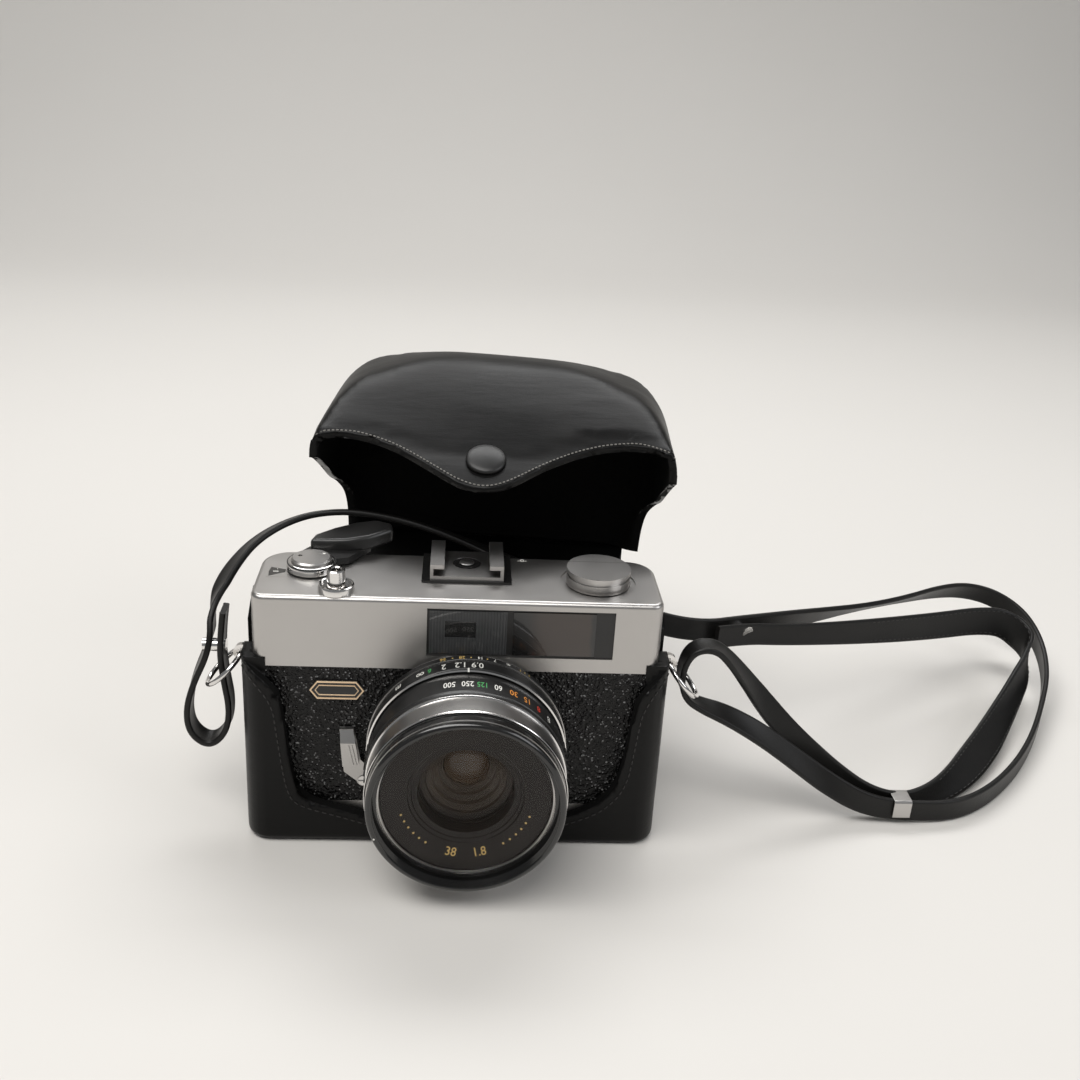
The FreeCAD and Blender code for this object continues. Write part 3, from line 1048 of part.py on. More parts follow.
# the middle of each rivet, which lies on the route below
LEFT_RIVET = (-71.4, -2.8, 55.4)
RIGHT_RIVET = (90.7, 25.5, 48.6)
STRAP_ROUTE = [
    (-64.9, -3.2, 67.0, 90, NARROW), (-66.4, -3.2, 56.5, 90, NARROW), (-65.7, -3.0, 46.0, 90, NARROW),
    (-64.3, -3.2, 36.4, 90, NARROW), (-65.6, -3.6, 28.6, 90, NARROW), (-70.4, -4.0, 24.2, 90, NARROW),
    (-75.6, -4.0, 28.2, 90, NARROW), (-76.6, -3.8, 35.4, 90, NARROW), (-74.4, -3.4, 44.4, 90, NARROW),
    (-69.6, -2.6, 55.4, 90, NARROW), (-69.6, 4.6, 64.4, 90, NARROW), (-67.0, 16.0, 70.2, 90, NARROW),
    (-60.7, 28.0, 75.2, 90, NARROW), (-49.4, 37.0, 78.7, 90, NARROW), (-36.8, 39.0, 80.2, 90, NARROW),
    (-24.3, 40.0, 78.6, 90, NARROW), (-10.1, 39.6, 75.4, 88, NARROW), (8.0, 36.0, 69.8, 78, NARROW),
    (26.0, 29.0, 63.7, 60, NARROW), (44.5, 22.9, 58.6, 38, NARROW), (62.8, 19.0, 54.0, 16, NARROW),
    (76.0, 21.4, 51.2, 10, NARROW), (88.0, 29.0, 49.2, 6, NARROW), (104.3, 40.0, 46.0, -12, NARROW),
    (121.8, 53.4, 42.0, -36, NARROW), (140.2, 66.8, 38.6, -55, NARROW), (160.6, 83.0, 34.4, -55, NARROW),
    (182.0, 100.4, 30.2, -36, NARROW), (197.0, 109.0, 27.2, -18, NARROW), (210.0, 110.6, 23.4, -6, NARROW),
    (219.4, 104.0, 18.6, 0, NARROW), (222.0, 90.4, 13.2, 0, NARROW), (217.0, 71.4, 9.0, 0, NARROW),
    (206.0, 51.2, 6.0, 0, NARROW), (195.0, 33.7, 4.6, 0, NARROW), (182.4, 17.6, 4.2, 0, NARROW),
    (168.4, 4.2, 4.0, 0, NARROW), (154.6, -3.8, 4.0, 0, NARROW), (138.0, -4.7, 4.4, 0, NARROW),
    (126.0, -4.4, 6.2, 6, NARROW), (114.1, -4.0, 12.8, 22, NARROW), (102.0, -3.6, 21.8, 38, NARROW),
    (90.4, -3.7, 30.4, 42, NARROW), (79.4, -3.4, 36.6, 62, NARROW), (71.2, -2.9, 39.4, 86, NARROW),
    (66.6, -3.0, 42.4, 90, NARROW), (64.6, -3.0, 48.0, 90, NARROW), (65.3, -3.0, 54.8, 90, NARROW),
    (68.4, -3.0, 58.8, 90, NARROW), (74.0, -2.8, 58.8, 88, NARROW), (78.8, -1.8, 54.4, 70, NARROW),
    (84.0, 0.4, 47.8, 48, NARROW), (90.2, 2.8, 39.6, 26, NARROW), (97.8, 3.4, 30.4, 12, NARROW),
    (107.2, 3.0, 21.4, 6, NARROW), (117.4, 1.4, 13.2, 0, NARROW), (127.4, -0.4, 7.0, 0, NARROW),
    (138.0, -1.6, 4.8, 0, NARROW), (149.5, 3.2, 4.3, 25, 7.8), (160.4, 11.4, 4.7, 50, 9.6),
    (170.0, 21.4, 5.6, 62, WIDE), (180.1, 33.5, 6.6, 60, WIDE), (189.0, 45.3, 8.2, 50, WIDE),
    (199.7, 59.8, 11.0, 35, WIDE), (207.8, 70.6, 15.4, 20, WIDE), (209.4, 78.8, 21.2, 14, 10.8),
    (202.6, 83.6, 26.0, 12, 10.6), (190.0, 79.4, 28.6, 12, 10.2), (173.1, 71.6, 30.2, 12, 9.8),
    (153.6, 60.2, 34.0, 12, 9.2), (135.9, 50.4, 37.5, 10, 8.4), (119.3, 41.4, 41.0, 8, 7.6),
    (103.6, 33.0, 44.6, 8, NARROW), (90.6, 26.6, 48.0, 8, NARROW), (79.4, 19.4, 50.2, 8, NARROW),
]


def strap_width(tangent, degrees):
    """Unit vector along the strap's width: from upright at 0 degrees to along Y at 90 degrees."""
    lean = math.radians(degrees)
    hint = Vector(0, math.sin(lean), math.cos(lean))
    return (hint - tangent * hint.dot(tangent)).normalize()


def strap_stations(route):
    """Middle, direction, lean and width at stations along straight runs joined by tangent arcs."""
    points = [Vector(*row[:3]) for row in route]
    first = (points[1] - points[0]).normalize()
    stations = [(points[0], first, *route[0][3:])]
    radii = []
    for index in range(1, len(points) - 1):
        before = points[index] - points[index - 1]
        after = points[index + 1] - points[index]
        shorter = min(before.Length, after.Length)
        before.normalize()
        after.normalize()
        half_turn = before.getAngle(after) / 2
        reach = 0.45 * shorter
        radius = reach / math.tan(half_turn)
        radii.append(radius)
        inward = (after - before).normalize()
        centre = points[index] + inward * (radius / math.cos(half_turn))
        arc_start = points[index] - before * reach
        axis = before.cross(after)
        steps = max(1, math.ceil(math.degrees(half_turn * 2) / 9))
        for step in range(steps + 1):
            turn = Rotation(axis, math.degrees(half_turn * 2) * step / steps)
            middle = centre + turn.multVec(arc_start - centre)
            stations.append((middle, turn.multVec(before), *route[index][3:]))
    stations.append((points[-1], (points[-1] - points[-2]).normalize(), *route[-1][3:]))
    return stations, radii


def make_strap():
    """Flat leather strap as a chain of ruled cross-sections along its route."""
    stations, radii = strap_stations(STRAP_ROUTE)
    thick = S.strap_thick.value
    sections = []
    previous = None
    length = 0.0
    expected = 0.0
    for middle, tangent, degrees, wide in stations:
        width = strap_width(tangent, degrees)
        face = tangent.cross(width).normalize()
        ring = [middle + width * (wide / 2 * a) + face * (thick / 2 * b)
                for a, b in ((1, 1), (-1, 1), (-1, -1), (1, -1), (1, 1))]
        sections.append(Part.makePolygon(ring))
        if previous is not None:
            step = (middle - previous[0]).Length
            length += step
            expected += step * thick * (wide + previous[1]) / 2
        previous = (middle, wide)
    strap = doc.addObject("Part::Feature", "Strap")
    strap.Shape = Part.makeLoft(sections, True, True)
    node("strap", strap)
    print(f"strap length {length:.0f} mm, tightest radii {[round(r, 1) for r in sorted(radii)[:8]]}")
    print(f"strap volume {strap.Shape.Volume:.0f} against section times length {expected:.0f}")


def make_strap_fittings():
    """Rivets that join the strap to itself and the metal keeper round both strands."""
    left = rod(1.9, LEFT_RIVET[0], LEFT_RIVET[0] + 6.5, "x", LEFT_RIVET[1], LEFT_RIVET[2])
    right = doc.addObject("Part::Cylinder", "RightRivet")
    bind(right, "Radius", 2.2)
    bind(right, "Height", 6.0)
    through = Vector(-0.54, 0.84, 0)
    turn = Rotation(Vector(0, 0, 1), through)
    settle(right, *RIGHT_RIVET, turn)
    node("strap_rivets", group(left, right))
    right = S.keeper_left + S.keeper_wide
    far = S.keeper_near + S.keeper_deep
    wall = S.keeper_wall
    outer = block(S.keeper_left, right, S.keeper_near, far, 0, S.keeper_high)
    slot = block(S.keeper_left - cut_over, right + cut_over, S.keeper_near + wall, far - wall,
                 0.3, S.keeper_high - wall)
    node("strap_keeper", cut(outer, slot))


# ---------------------------------------------------------------- build, check and write
def build():
    make_chassis()
    make_top_deck()
    make_top_cover()
    make_bottom_cover()
    make_leatherette()
    make_back_door()
    make_base_fittings()
    make_film_transport()
    make_finder()
    make_wind_group()
    make_release()
    make_rewind()
    make_shoe()
    make_lens()
    make_front_fittings()
    make_case()
    make_hood()
    make_strap_hardware()
    make_strap()
    make_strap_fittings()
    doc.recompute()


def check():
    for item in doc.Objects:
        if "Invalid" in item.State or "Error" in item.State:
            raise RuntimeError(f"{item.Label} ({item.Name}) failed: {item.State}")
    for name, item in nodes.items():
        if item.Shape.isNull() or not item.Shape.isValid():
            raise RuntimeError(f"{name} has no valid shape")
        if not item.Shape.Solids:
            raise RuntimeError(f"{name} holds no solid")


def write():
    os.makedirs("parts", exist_ok=True)
    for name, item in nodes.items():
        item.Shape.exportStep(f"parts/{name}.step")
        box = item.Shape.BoundBox
        print(f"{name}: {len(item.Shape.Solids)} solid(s), {item.Shape.Volume:.0f} mm3, "
              f"x {box.XMin:.1f}..{box.XMax:.1f} y {box.YMin:.1f}..{box.YMax:.1f} "
              f"z {box.ZMin:.1f}..{box.ZMax:.1f}")


build()
check()
write()
print(f"{len(nodes)} nodes")
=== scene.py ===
# %% [markdown]
# # A compact rangefinder camera in its half case
# The camera stands in a leather half case. The hood of the case is open behind it and its strap lies in a
# loop to one side. The CAD model gives every rigid piece its place. This script dresses those pieces, and
# makes the soft and the finely marked ones again: leather, strap, stitches, knurls and engraved numbers.

# %% Load the frame
import math

import bmesh
import bpy
from mathutils import Matrix, Vector, noise
from mathutils.bvhtree import BVHTree
from mathutils.kdtree import KDTree


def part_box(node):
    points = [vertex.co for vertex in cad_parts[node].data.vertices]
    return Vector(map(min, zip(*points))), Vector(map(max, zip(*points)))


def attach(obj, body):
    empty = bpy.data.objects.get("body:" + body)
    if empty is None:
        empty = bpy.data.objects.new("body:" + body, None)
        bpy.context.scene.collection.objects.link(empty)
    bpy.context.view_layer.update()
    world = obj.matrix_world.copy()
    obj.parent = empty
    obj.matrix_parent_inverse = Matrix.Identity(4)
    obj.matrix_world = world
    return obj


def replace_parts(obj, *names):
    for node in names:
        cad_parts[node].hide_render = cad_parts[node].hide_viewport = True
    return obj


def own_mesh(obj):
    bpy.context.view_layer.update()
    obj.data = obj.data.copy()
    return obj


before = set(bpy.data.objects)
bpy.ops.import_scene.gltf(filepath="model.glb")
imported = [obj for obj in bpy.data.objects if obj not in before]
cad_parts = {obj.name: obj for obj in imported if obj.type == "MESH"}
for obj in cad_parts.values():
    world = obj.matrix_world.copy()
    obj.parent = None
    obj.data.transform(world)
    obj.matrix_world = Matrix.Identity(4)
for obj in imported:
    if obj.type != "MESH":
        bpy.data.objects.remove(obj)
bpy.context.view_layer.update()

MM = 0.001
X, Y, Z = Vector((1, 0, 0)), Vector((0, 1, 0)), Vector((0, 0, 1))
scene = bpy.context.scene
print("CAD nodes:", len(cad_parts))


def added(name, data):
    """A new object in the scene."""
    item = bpy.data.objects.new(name, data)
    scene.collection.objects.link(item)
    return item


# %% [markdown]
# ## Camera
# A short tele view from above the front of the lens. The rotation is written as three directions, because
# that keeps the tilt of the hand-held camera without a chain of turns.


# %% Camera
def aimed(yaw, pitch, roll):
    """Rotation of a camera that looks along +Y, turned by yaw, raised by pitch and rolled, in degrees."""
    yaw, pitch, roll = (math.radians(angle) for angle in (yaw, pitch, roll))
    ahead = Vector((math.sin(yaw) * math.cos(pitch), math.cos(yaw) * math.cos(pitch), math.sin(pitch)))
    right = Vector((math.cos(yaw), -math.sin(yaw), 0))
    above = right.cross(ahead)
    side = right * math.cos(roll) + above * math.sin(roll)
    top = above * math.cos(roll) - right * math.sin(roll)
    return Matrix((side, top, -ahead)).transposed()


lens_data = bpy.data.cameras.new("view")
lens_data.lens = 40.43
lens_data.sensor_width = 36.0
lens_data.clip_start = 0.01
view = added("view", lens_data)
view_place = Matrix.Translation(Vector((-1.67, -308.70, 220.61)) * MM)
view.matrix_world = view_place @ aimed(4.33, -23.012, 3.454).to_4x4()
scene.camera = view

# %% [markdown]
# ## Finishes
# Shader maths reads best as plain Python. `Wire` wraps one output socket, and its operators add Math nodes.
# `Finish` holds one material, and its `node` method adds any other node: inputs first, settings by name.


# %% Shader helpers
def add_node(tree, kind, values, settings):
    """A new node with these settings and inputs; an input that is a socket or a Wire is linked."""
    made = tree.nodes.new(kind)
    for key, value in settings.items():
        setattr(made, key, value)
    for key, value in (values or {}).items():
        source = getattr(value, "socket", value)
        if isinstance(source, bpy.types.NodeSocket):
            tree.links.new(source, made.inputs[key])
        else:
            made.inputs[key].default_value = value
    return made


class Wire:
    """One output socket whose operators add Math nodes."""

    def __init__(self, finish, socket):
        self.finish = finish
        self.socket = socket

    def math(self, operation, *values):
        return self.finish.node("ShaderNodeMath", dict(enumerate(values)), operation=operation)

    def __add__(self, other):
        return self.math("ADD", self, other)

    def __sub__(self, other):
        return self.math("SUBTRACT", self, other)

    def __rsub__(self, other):
        return self.math("SUBTRACT", other, self)

    def __mul__(self, other):
        return self.math("MULTIPLY", self, other)

    def __pow__(self, other):
        return self.math("POWER", self, other)


class Finish:
    """A material, built by calls."""

    def __init__(self, name):
        self.material = bpy.data.materials.new(name)
        self.material.use_nodes = True
        self.tree = self.material.node_tree
        self.tree.nodes.clear()

    def node(self, kind, values=None, out=0, **settings):
        made = add_node(self.tree, kind, values, settings)
        return Wire(self, made.outputs[out]) if made.outputs else None

    def place(self):
        return self.node("ShaderNodeTexCoord", out="Object")

    def noise(self, scale, detail=3.0, rough=0.5, place=None):
        values = {"Vector": place or self.place(), "Scale": scale, "Detail": detail, "Roughness": rough}
        return self.node("ShaderNodeTexNoise", values)

    def cells(self, scale, feature="F1"):
        return self.node("ShaderNodeTexVoronoi", {"Vector": self.place(), "Scale": scale}, feature=feature)

    def stretched(self, amounts):
        """Object coordinates multiplied along each axis, for creases that run one way."""
        values = {"Vector": self.place(), "Scale": amounts}
        return self.node("ShaderNodeMapping", values, vector_type="POINT")

    def ramp(self, value, *stops):
        made = add_node(self.tree, "ShaderNodeValToRGB", {0: value}, {})
        elements = made.color_ramp.elements
        for index, (position, colour) in enumerate(stops):
            stop = elements[index] if index < 2 else elements.new(position)
            stop.position = position
            stop.color = colour
        return Wire(self, made.outputs[0])

    def mix(self, share, first, second):
        return self.node("ShaderNodeMix", {0: share, 6: first, 7: second}, 2, data_type="RGBA")

    def bump(self, height, distance, normal=None, strength=1.0):
        values = {"Height": height, "Distance": distance, "Strength": strength}
        if normal is not None:
            values["Normal"] = normal
        return self.node("ShaderNodeBump", values)

    def surface(self, **values):
        named = {key.replace("_", " "): value for key, value in values.items()}
        self.node("ShaderNodeOutputMaterial", {"Surface": self.node("ShaderNodeBsdfPrincipled", named)})
        return self.material


def grey(level, warm=0.0):
    """A grey, made warmer by a share that lifts red and lowers blue."""
    return (level * (1 + warm), level, level * (1 - warm), 1.0)


# %% [markdown]
# ## Metal
# The covers are satin chrome: a pale, slightly warm plating over a fine blasted grain. Its roughness varies
# where hands have polished it. Turned parts are brighter and smoother, and black parts are enamelled.


# %% Metal finishes
def satin(name, level, warm, rough, grain=9000.0):
    finish = Finish(name)
    grains = finish.noise(grain, 2.0)
    handled = finish.noise(45.0, 4.0)
    colour = finish.mix(handled, grey(level * 0.86, warm), grey(level * 1.06, warm * 0.8))
    roughness = handled * 0.14 + grains * 0.06 + (rough - 0.1)
    normal = finish.bump(grains, 0.000012, strength=0.5)
    return finish.surface(Base_Color=colour, Metallic=1.0, Roughness=roughness, Normal=normal)


def polished(name, level, rough=0.12, warm=0.02):
    finish = Finish(name)
    smears = finish.noise(160.0, 4.0)
    colour = finish.mix(smears, grey(level * 0.93, warm), grey(level, warm))
    return finish.surface(Base_Color=colour, Metallic=1.0, Roughness=smears * 0.12 + (rough - 0.05))


def enamel(name, level=0.012, rough=0.32, coat=0.0):
    finish = Finish(name)
    dust = finish.noise(2200.0, 2.0)
    rubbed = finish.noise(120.0, 4.0)
    colour = finish.mix(rubbed, grey(level * 0.7), grey(level * 1.6, 0.03))
    roughness = rubbed * 0.16 + (rough - 0.08)
    normal = finish.bump(dust, 0.000006, strength=0.4)
    return finish.surface(Base_Color=colour, Roughness=roughness, Normal=normal, Coat_Weight=coat)


def painted_mark(name, colour):
    finish = Finish(name)
    worn = finish.noise(900.0, 3.0)
    shade = tuple(0.82 * part for part in colour[:3]) + (1.0,)
    return finish.surface(Base_Color=finish.mix(worn, shade, colour), Roughness=worn * 0.2 + 0.4)


satin_chrome = satin("satin_chrome", 0.50, 0.035, 0.34)
lower_chrome = satin("lower_chrome", 0.46, 0.04, 0.36)
ring_chrome = satin("ring_chrome", 0.52, 0.03, 0.30)
bright_chrome = polished("bright_chrome", 0.78)
machined = satin("machined_alloy", 0.42, 0.01, 0.42, 4000.0)
brass = polished("brass", 0.5, 0.25, 0.35)
black_enamel = enamel("black_enamel")
black_gloss = enamel("black_gloss", 0.008, 0.16, 0.4)
black_matt = enamel("black_matt", 0.006, 0.6)
snap_enamel = enamel("snap_enamel", 0.006, 0.42)
white_mark = painted_mark("white_mark", (0.82, 0.81, 0.76, 1))
gold_mark = painted_mark("gold_mark", (0.62, 0.42, 0.14, 1))
green_mark = painted_mark("green_mark", (0.06, 0.36, 0.10, 1))
orange_mark = painted_mark("orange_mark", (0.75, 0.28, 0.05, 1))
red_mark = painted_mark("red_mark", (0.6, 0.05, 0.03, 1))

# %% [markdown]
# ## Leather
# The body covering is embossed with hard round pebbles, which a Voronoi pattern gives. The case and hood
# are smooth glossy leather with fine creases and worn, paler patches. The strap is split leather with a
# tighter grain. All of them are almost black, so their gloss shows the shape.


# %% Leather finishes
def pebbled_covering():
    finish = Finish("pebbled_covering")
    warp = finish.noise(500.0, 2.0)
    pebbles = finish.cells(1150.0, "SMOOTH_F1")
    small = finish.cells(2600.0, "SMOOTH_F1")
    height = 1 - (pebbles * 0.75 + small * 0.25) ** 1.4
    # Painted highlights: a pale grey goes into the colour on some pebble tops, as painted glints.
    glint_pick = finish.noise(700.0, 1.0)
    glint_crowns = finish.ramp(pebbles, (0.1, grey(1.0)), (0.32, grey(0.0)))
    painted_glints = glint_crowns * finish.ramp(glint_pick, (0.46, grey(0.0)), (0.58, grey(1.0)))
    # Painted light and shade: the colour is lighter on the raised pebble tops and darker between them.
    base = finish.mix(height, grey(0.001), grey(0.004, 0.02))
    colour = finish.mix(painted_glints, base, grey(0.24))
    normal = finish.bump(height + warp * 0.2, 0.0006)
    roughness = warp * 0.16 + 0.16
    return finish.surface(Base_Color=colour, Roughness=roughness, Normal=normal, Specular_IOR_Level=0.28)


def case_leather(name, gloss, worn):
    finish = Finish(name)
    patches = finish.noise(26.0, 5.0, 0.6)
    creases = finish.noise(140.0, 6.0, 0.65, finish.stretched((0.35, 1.4, 1.8)))
    pores = finish.cells(3200.0)
    rubbed = finish.ramp(patches, (0.45, grey(0.0)), (0.72, grey(1.0)))
    base = finish.mix(rubbed, grey(0.0022, 0.04), grey(worn, 0.06))
    colour = finish.mix(creases * 0.5, base, grey(0.0015, 0.03))
    first = finish.bump(pores, 0.00002, strength=0.35)
    normal = finish.bump(creases, 0.0002, first, 0.45)
    roughness = patches * 0.22 + creases * 0.12 + (gloss - 0.12)
    return finish.surface(Base_Color=colour, Roughness=roughness, Normal=normal, Specular_IOR_Level=0.2)


def suede(name, level=0.0022):
    finish = Finish(name)
    nap = finish.noise(1800.0, 4.0, 0.7)
    colour = finish.mix(nap, grey(level * 0.6), grey(level * 1.8, 0.05))
    normal = finish.bump(nap, 0.0001, strength=0.6)
    return finish.surface(Base_Color=colour, Roughness=0.92, Normal=normal, Specular_IOR_Level=0.15)


def strap_leather(name, level, rough):
    finish = Finish(name)
    grain = finish.cells(1900.0, "SMOOTH_F1")
    patches = finish.noise(60.0, 5.0, 0.6)
    colour = finish.mix(patches, grey(level * 0.6, 0.05), grey(level * 1.7, 0.07))
    normal = finish.bump(grain, 0.00005, strength=0.6)
    roughness = patches * 0.22 + (rough - 0.1)
    return finish.surface(Base_Color=colour, Roughness=roughness, Normal=normal, Specular_IOR_Level=0.3)


covering = pebbled_covering()
hood_leather = case_leather("hood_leather", 0.32, 0.008)
half_case_leather = case_leather("half_case_leather", 0.30, 0.004)
lining = suede("hood_lining")
strap_hide = strap_leather("strap_hide", 0.005, 0.40)
thread = painted_mark("pale_thread", (0.22, 0.21, 0.19, 1))
dark_thread = painted_mark("dark_thread", (0.018, 0.017, 0.016, 1))

# %% [markdown]
# ## Glass
# Thin coated glass mirrors a little, more at a slant, and lets the rest through. It is a mirror whose alpha
# is the share that it reflects, and its base colour is the tint of the coating. The finder is dark behind
# its window, so it is one glossy surface, black at both ends and brown between.


# %% Glass finishes
def coated(name, tint, least):
    """Mirrors the share least when seen straight on and everything at a grazing angle."""
    finish = Finish(name)
    smears = finish.noise(90.0, 4.0)
    slant = finish.node("ShaderNodeLayerWeight", {"Blend": 0.5}, "Facing")
    share = slant ** 5 * (1 - least) + least
    return finish.surface(Base_Color=tint, Metallic=1.0, Roughness=smears * 0.05 + 0.02, Alpha=share)


def across_body(finish, left, wide):
    """Share of the way across a width of the camera, from left, in millimetres."""
    place = finish.node("ShaderNodeSeparateXYZ", {0: finish.place()}, "X")
    return (place - left * MM) * (1 / (wide * MM))


def finder_window(name):
    finish = Finish(name)
    depth = finish.noise(150.0, 3.0)
    share = across_body(finish, 14.8, 22.6) + (depth - 0.5) * 0.12
    brown = (0.030, 0.019, 0.014, 1)
    colour = finish.ramp(share, (0.0, grey(0.002)), (0.16, grey(0.003)), (0.36, brown), (0.92, brown),
                         (0.97, grey(0.004)))
    return finish.surface(Base_Color=colour, Roughness=depth * 0.1 + 0.2, Coat_Weight=0.7,
                          Coat_Roughness=0.04)


def light_panel(name):
    """Ribbed plastic behind dark glass, with painted light and shade on its ribs."""
    finish = Finish(name)
    share = across_body(finish, 0.0, 0.8)
    ribs = share.math("SINE", share * (2 * math.pi)) * 0.5 + 0.5
    dust = finish.noise(700.0, 3.0)
    # Painted light and shade: the colour is lighter on the rib crests and darker between them, and the dust
    # adds a random tone.
    colour = finish.mix(ribs * 0.6 + dust * 0.4, grey(0.022, -0.04), grey(0.042, -0.04))
    return finish.surface(Base_Color=colour, Roughness=dust * 0.15 + 0.25, Normal=finish.bump(ribs, 0.00005),
                          Coat_Weight=0.5, Coat_Roughness=0.05)


clear_glass = coated("clear_glass", (0.95, 0.97, 0.97, 1), 0.03)
filter_glass = coated("filter_glass", (0.9, 0.85, 0.8, 1), 0.006)
lens_glass = coated("coated_glass", (0.95, 0.72, 0.52, 1), 0.012)
silvered = polished("silvered_glass", 0.85, 0.06, 0.0)
finder_glass = finder_window("finder_glass")
ribbed_panel = light_panel("ribbed_panel")
dark_glass = enamel("dark_glass", 0.006, 0.1, 1.0)


def brown_black(name, colour, rough, coat):
    """The dark inside of a lens, which its coatings tint brown."""
    finish = Finish(name)
    haze = finish.noise(130.0, 4.0)
    shade = tuple(part * 0.5 for part in colour[:3]) + (1.0,)
    return finish.surface(Base_Color=finish.mix(haze, shade, colour), Roughness=haze * 0.12 + rough,
                          Specular_IOR_Level=0.3, Coat_Weight=coat, Coat_Roughness=0.05)


lens_black = brown_black("lens_black", (0.010, 0.0065, 0.005, 1), 0.3, 0.0)
amber_glass = brown_black("amber_glass", (0.05, 0.028, 0.014, 1), 0.12, 0.25)

# %% [markdown]
# ## Dressing the CAD pieces
# Pieces whose CAD shape is right only need their finish.


# %% Give the CAD pieces their finishes
def dress(material, *names):
    for name in names:
        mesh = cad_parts[name].data
        mesh.materials.clear()
        mesh.materials.append(material)


dress(satin_chrome, "top_cover")
dress(lower_chrome, "bottom_cover", "battery_cover")
dress(covering, "leatherette", "back_door")
dress(machined, "chassis", "top_deck", "sprocket_shaft", "shutter_housing", "lens_tube")
dress(brass, "tripod_bush")
dress(bright_chrome, "battery", "rewind_catch", "case_screw", "case_snap_stud", "strap_lugs", "strap_rings",
      "shutter_button", "self_timer_screw")
dress(ring_chrome, "wind_disc", "self_timer_lever", "rewind_crank", "rewind_knob", "accessory_shoe")
dress(black_gloss, "takeup_spool", "shoe_block", "eyepiece_frame", "flash_contact")
dress(black_enamel, "window_bezel", "counter_dial", "front_plate", "wind_lever")
dress(black_matt, "finder_housing", "pressure_plate", "front_trim_ring", "shutter_blades")
dress(clear_glass, "eyepiece_glass", "counter_window")
dress(silvered, "rangefinder_mirror", "beam_splitter")
dress(lens_glass, "front_element", "rear_element")
dress(filter_glass, "filter_glass")
dress(finder_glass, "finder_windows")
dress(ribbed_panel, "frosted_panel")

# %% [markdown]
# ## Mesh helpers
# `new_piece` adds a mesh at the origin, shades it smooth up to a sharp angle and gives it to a CAD body.
# Most shapes are rows of points, and `band_faces` joins each row to the next.


# %% Mesh helpers
def new_piece(name, mesh, material, body, sharp=35.0):
    item = added(name, mesh)
    mesh.name = name
    if material is not None:
        mesh.materials.clear()
        mesh.materials.append(material)
    mesh.shade_smooth()
    mesh.set_sharp_from_angle(angle=math.radians(sharp))
    if body:
        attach(item, body)
    return item


def flat_mesh(points, faces):
    mesh = bpy.data.meshes.new("mesh")
    mesh.from_pydata([tuple(point) for point in points], [], faces)
    return mesh


def mesh_from(points, faces):
    """A closed mesh: points that meet are joined and the faces look outwards."""
    mesh = flat_mesh(points, faces)
    work = bmesh.new()
    work.from_mesh(mesh)
    bmesh.ops.remove_doubles(work, verts=work.verts, dist=1e-7)
    bmesh.ops.recalc_face_normals(work, faces=work.faces)
    work.to_mesh(mesh)
    work.free()
    return mesh


def frozen(item):
    """The evaluated mesh of an object, as a new mesh."""
    graph = bpy.context.evaluated_depsgraph_get()
    graph.update()
    return bpy.data.meshes.new_from_object(item.evaluated_get(graph), depsgraph=graph)


def discard(item):
    bpy.data.objects.remove(item)


def line_object(name, lines, kind):
    """A curve with one spline of this kind for each list of points."""
    curve = bpy.data.curves.new(name, "CURVE")
    curve.dimensions = "3D"
    for line in lines:
        spline = curve.splines.new(kind)
        spline.points.add(len(line) - 1)
        for knot, point in zip(spline.points, line):
            knot.co = (*point, 1.0)
    return added(name, curve)


def nurbs_points(points, steps=10):
    """Points of a smooth NURBS line that has these control points, steps of them to each run."""
    item = line_object("route", [points], "NURBS")
    spline = item.data.splines[0]
    spline.order_u = 3
    spline.use_endpoint_u = True
    spline.resolution_u = steps
    line = [vertex.co.copy() for vertex in frozen(item).vertices]
    discard(item)
    return line


def circle(count):
    """Points round a circle of radius 1."""
    return [(math.cos(math.tau * k / count), math.sin(math.tau * k / count)) for k in range(count)]


def band_faces(rows, count, closed=False):
    """Faces between rows of count points each; closed joins the last row to the first."""
    faces = []
    for row in range(rows if closed else rows - 1):
        low, high = row * count, (row + 1) % rows * count
        for k in range(count):
            after = (k + 1) % count
            faces.append((low + k, low + after, high + after, high + k))
    return faces


def in_space(x, y, z):
    """A place given in millimetres."""
    return Vector((x, y, z)) * MM


def prism_mesh(outline, low, high, place=in_space):
    """An extruded outline; place turns (a, b, height) into a point."""
    count = len(outline)
    points = [place(a, b, height) for height in (low, high) for a, b in outline]
    caps = [tuple(range(count)), tuple(range(count, 2 * count))]
    return mesh_from(points, caps + band_faces(2, count))


def bevelled(item, width, segments=2):
    """Round the edges of a small piece and keep the result."""
    bevel = item.modifiers.new("edges", "BEVEL")
    bevel.width = width * MM
    bevel.segments = segments
    bevel.limit_method = "ANGLE"
    mesh = frozen(item)
    item.modifiers.clear()
    item.data = mesh
    return item


# %% [markdown]
# ## The room
# A pale sweep: a floor that curves up into a wall, so no edge shows behind the camera. One large soft lamp
# stands high on the left, a weaker one on the right and a long one behind, which lights the top edges. The
# world fills the shadows.


# %% Floor, wall and lamps
def sweep(width, near, far, height, radius):
    """Floor and wall joined by a quarter round."""
    turns = [math.pi / 2 * step / 12 for step in range(13)]
    bend = [(far - radius + radius * math.sin(turn), radius - radius * math.cos(turn)) for turn in turns]
    outline = [(near, 0.0)] + bend + [(far, height)]
    points = [(side * width / 2, y, z) for y, z in outline for side in (-1, 1)]
    faces = [(2 * k, 2 * k + 1, 2 * k + 3, 2 * k + 2) for k in range(len(outline) - 1)]
    return flat_mesh(points, faces)


room_paint = Finish("room_paint")
paint_shade = room_paint.noise(3.0, 2.0)
room_colour = room_paint.mix(paint_shade, (0.66, 0.64, 0.61, 1), (0.69, 0.67, 0.64, 1))
room_paint.surface(Base_Color=room_colour, Roughness=0.75)
room = new_piece("room", sweep(8.0, -3.0, 1.3, 3.0, 0.5), room_paint.material, None)


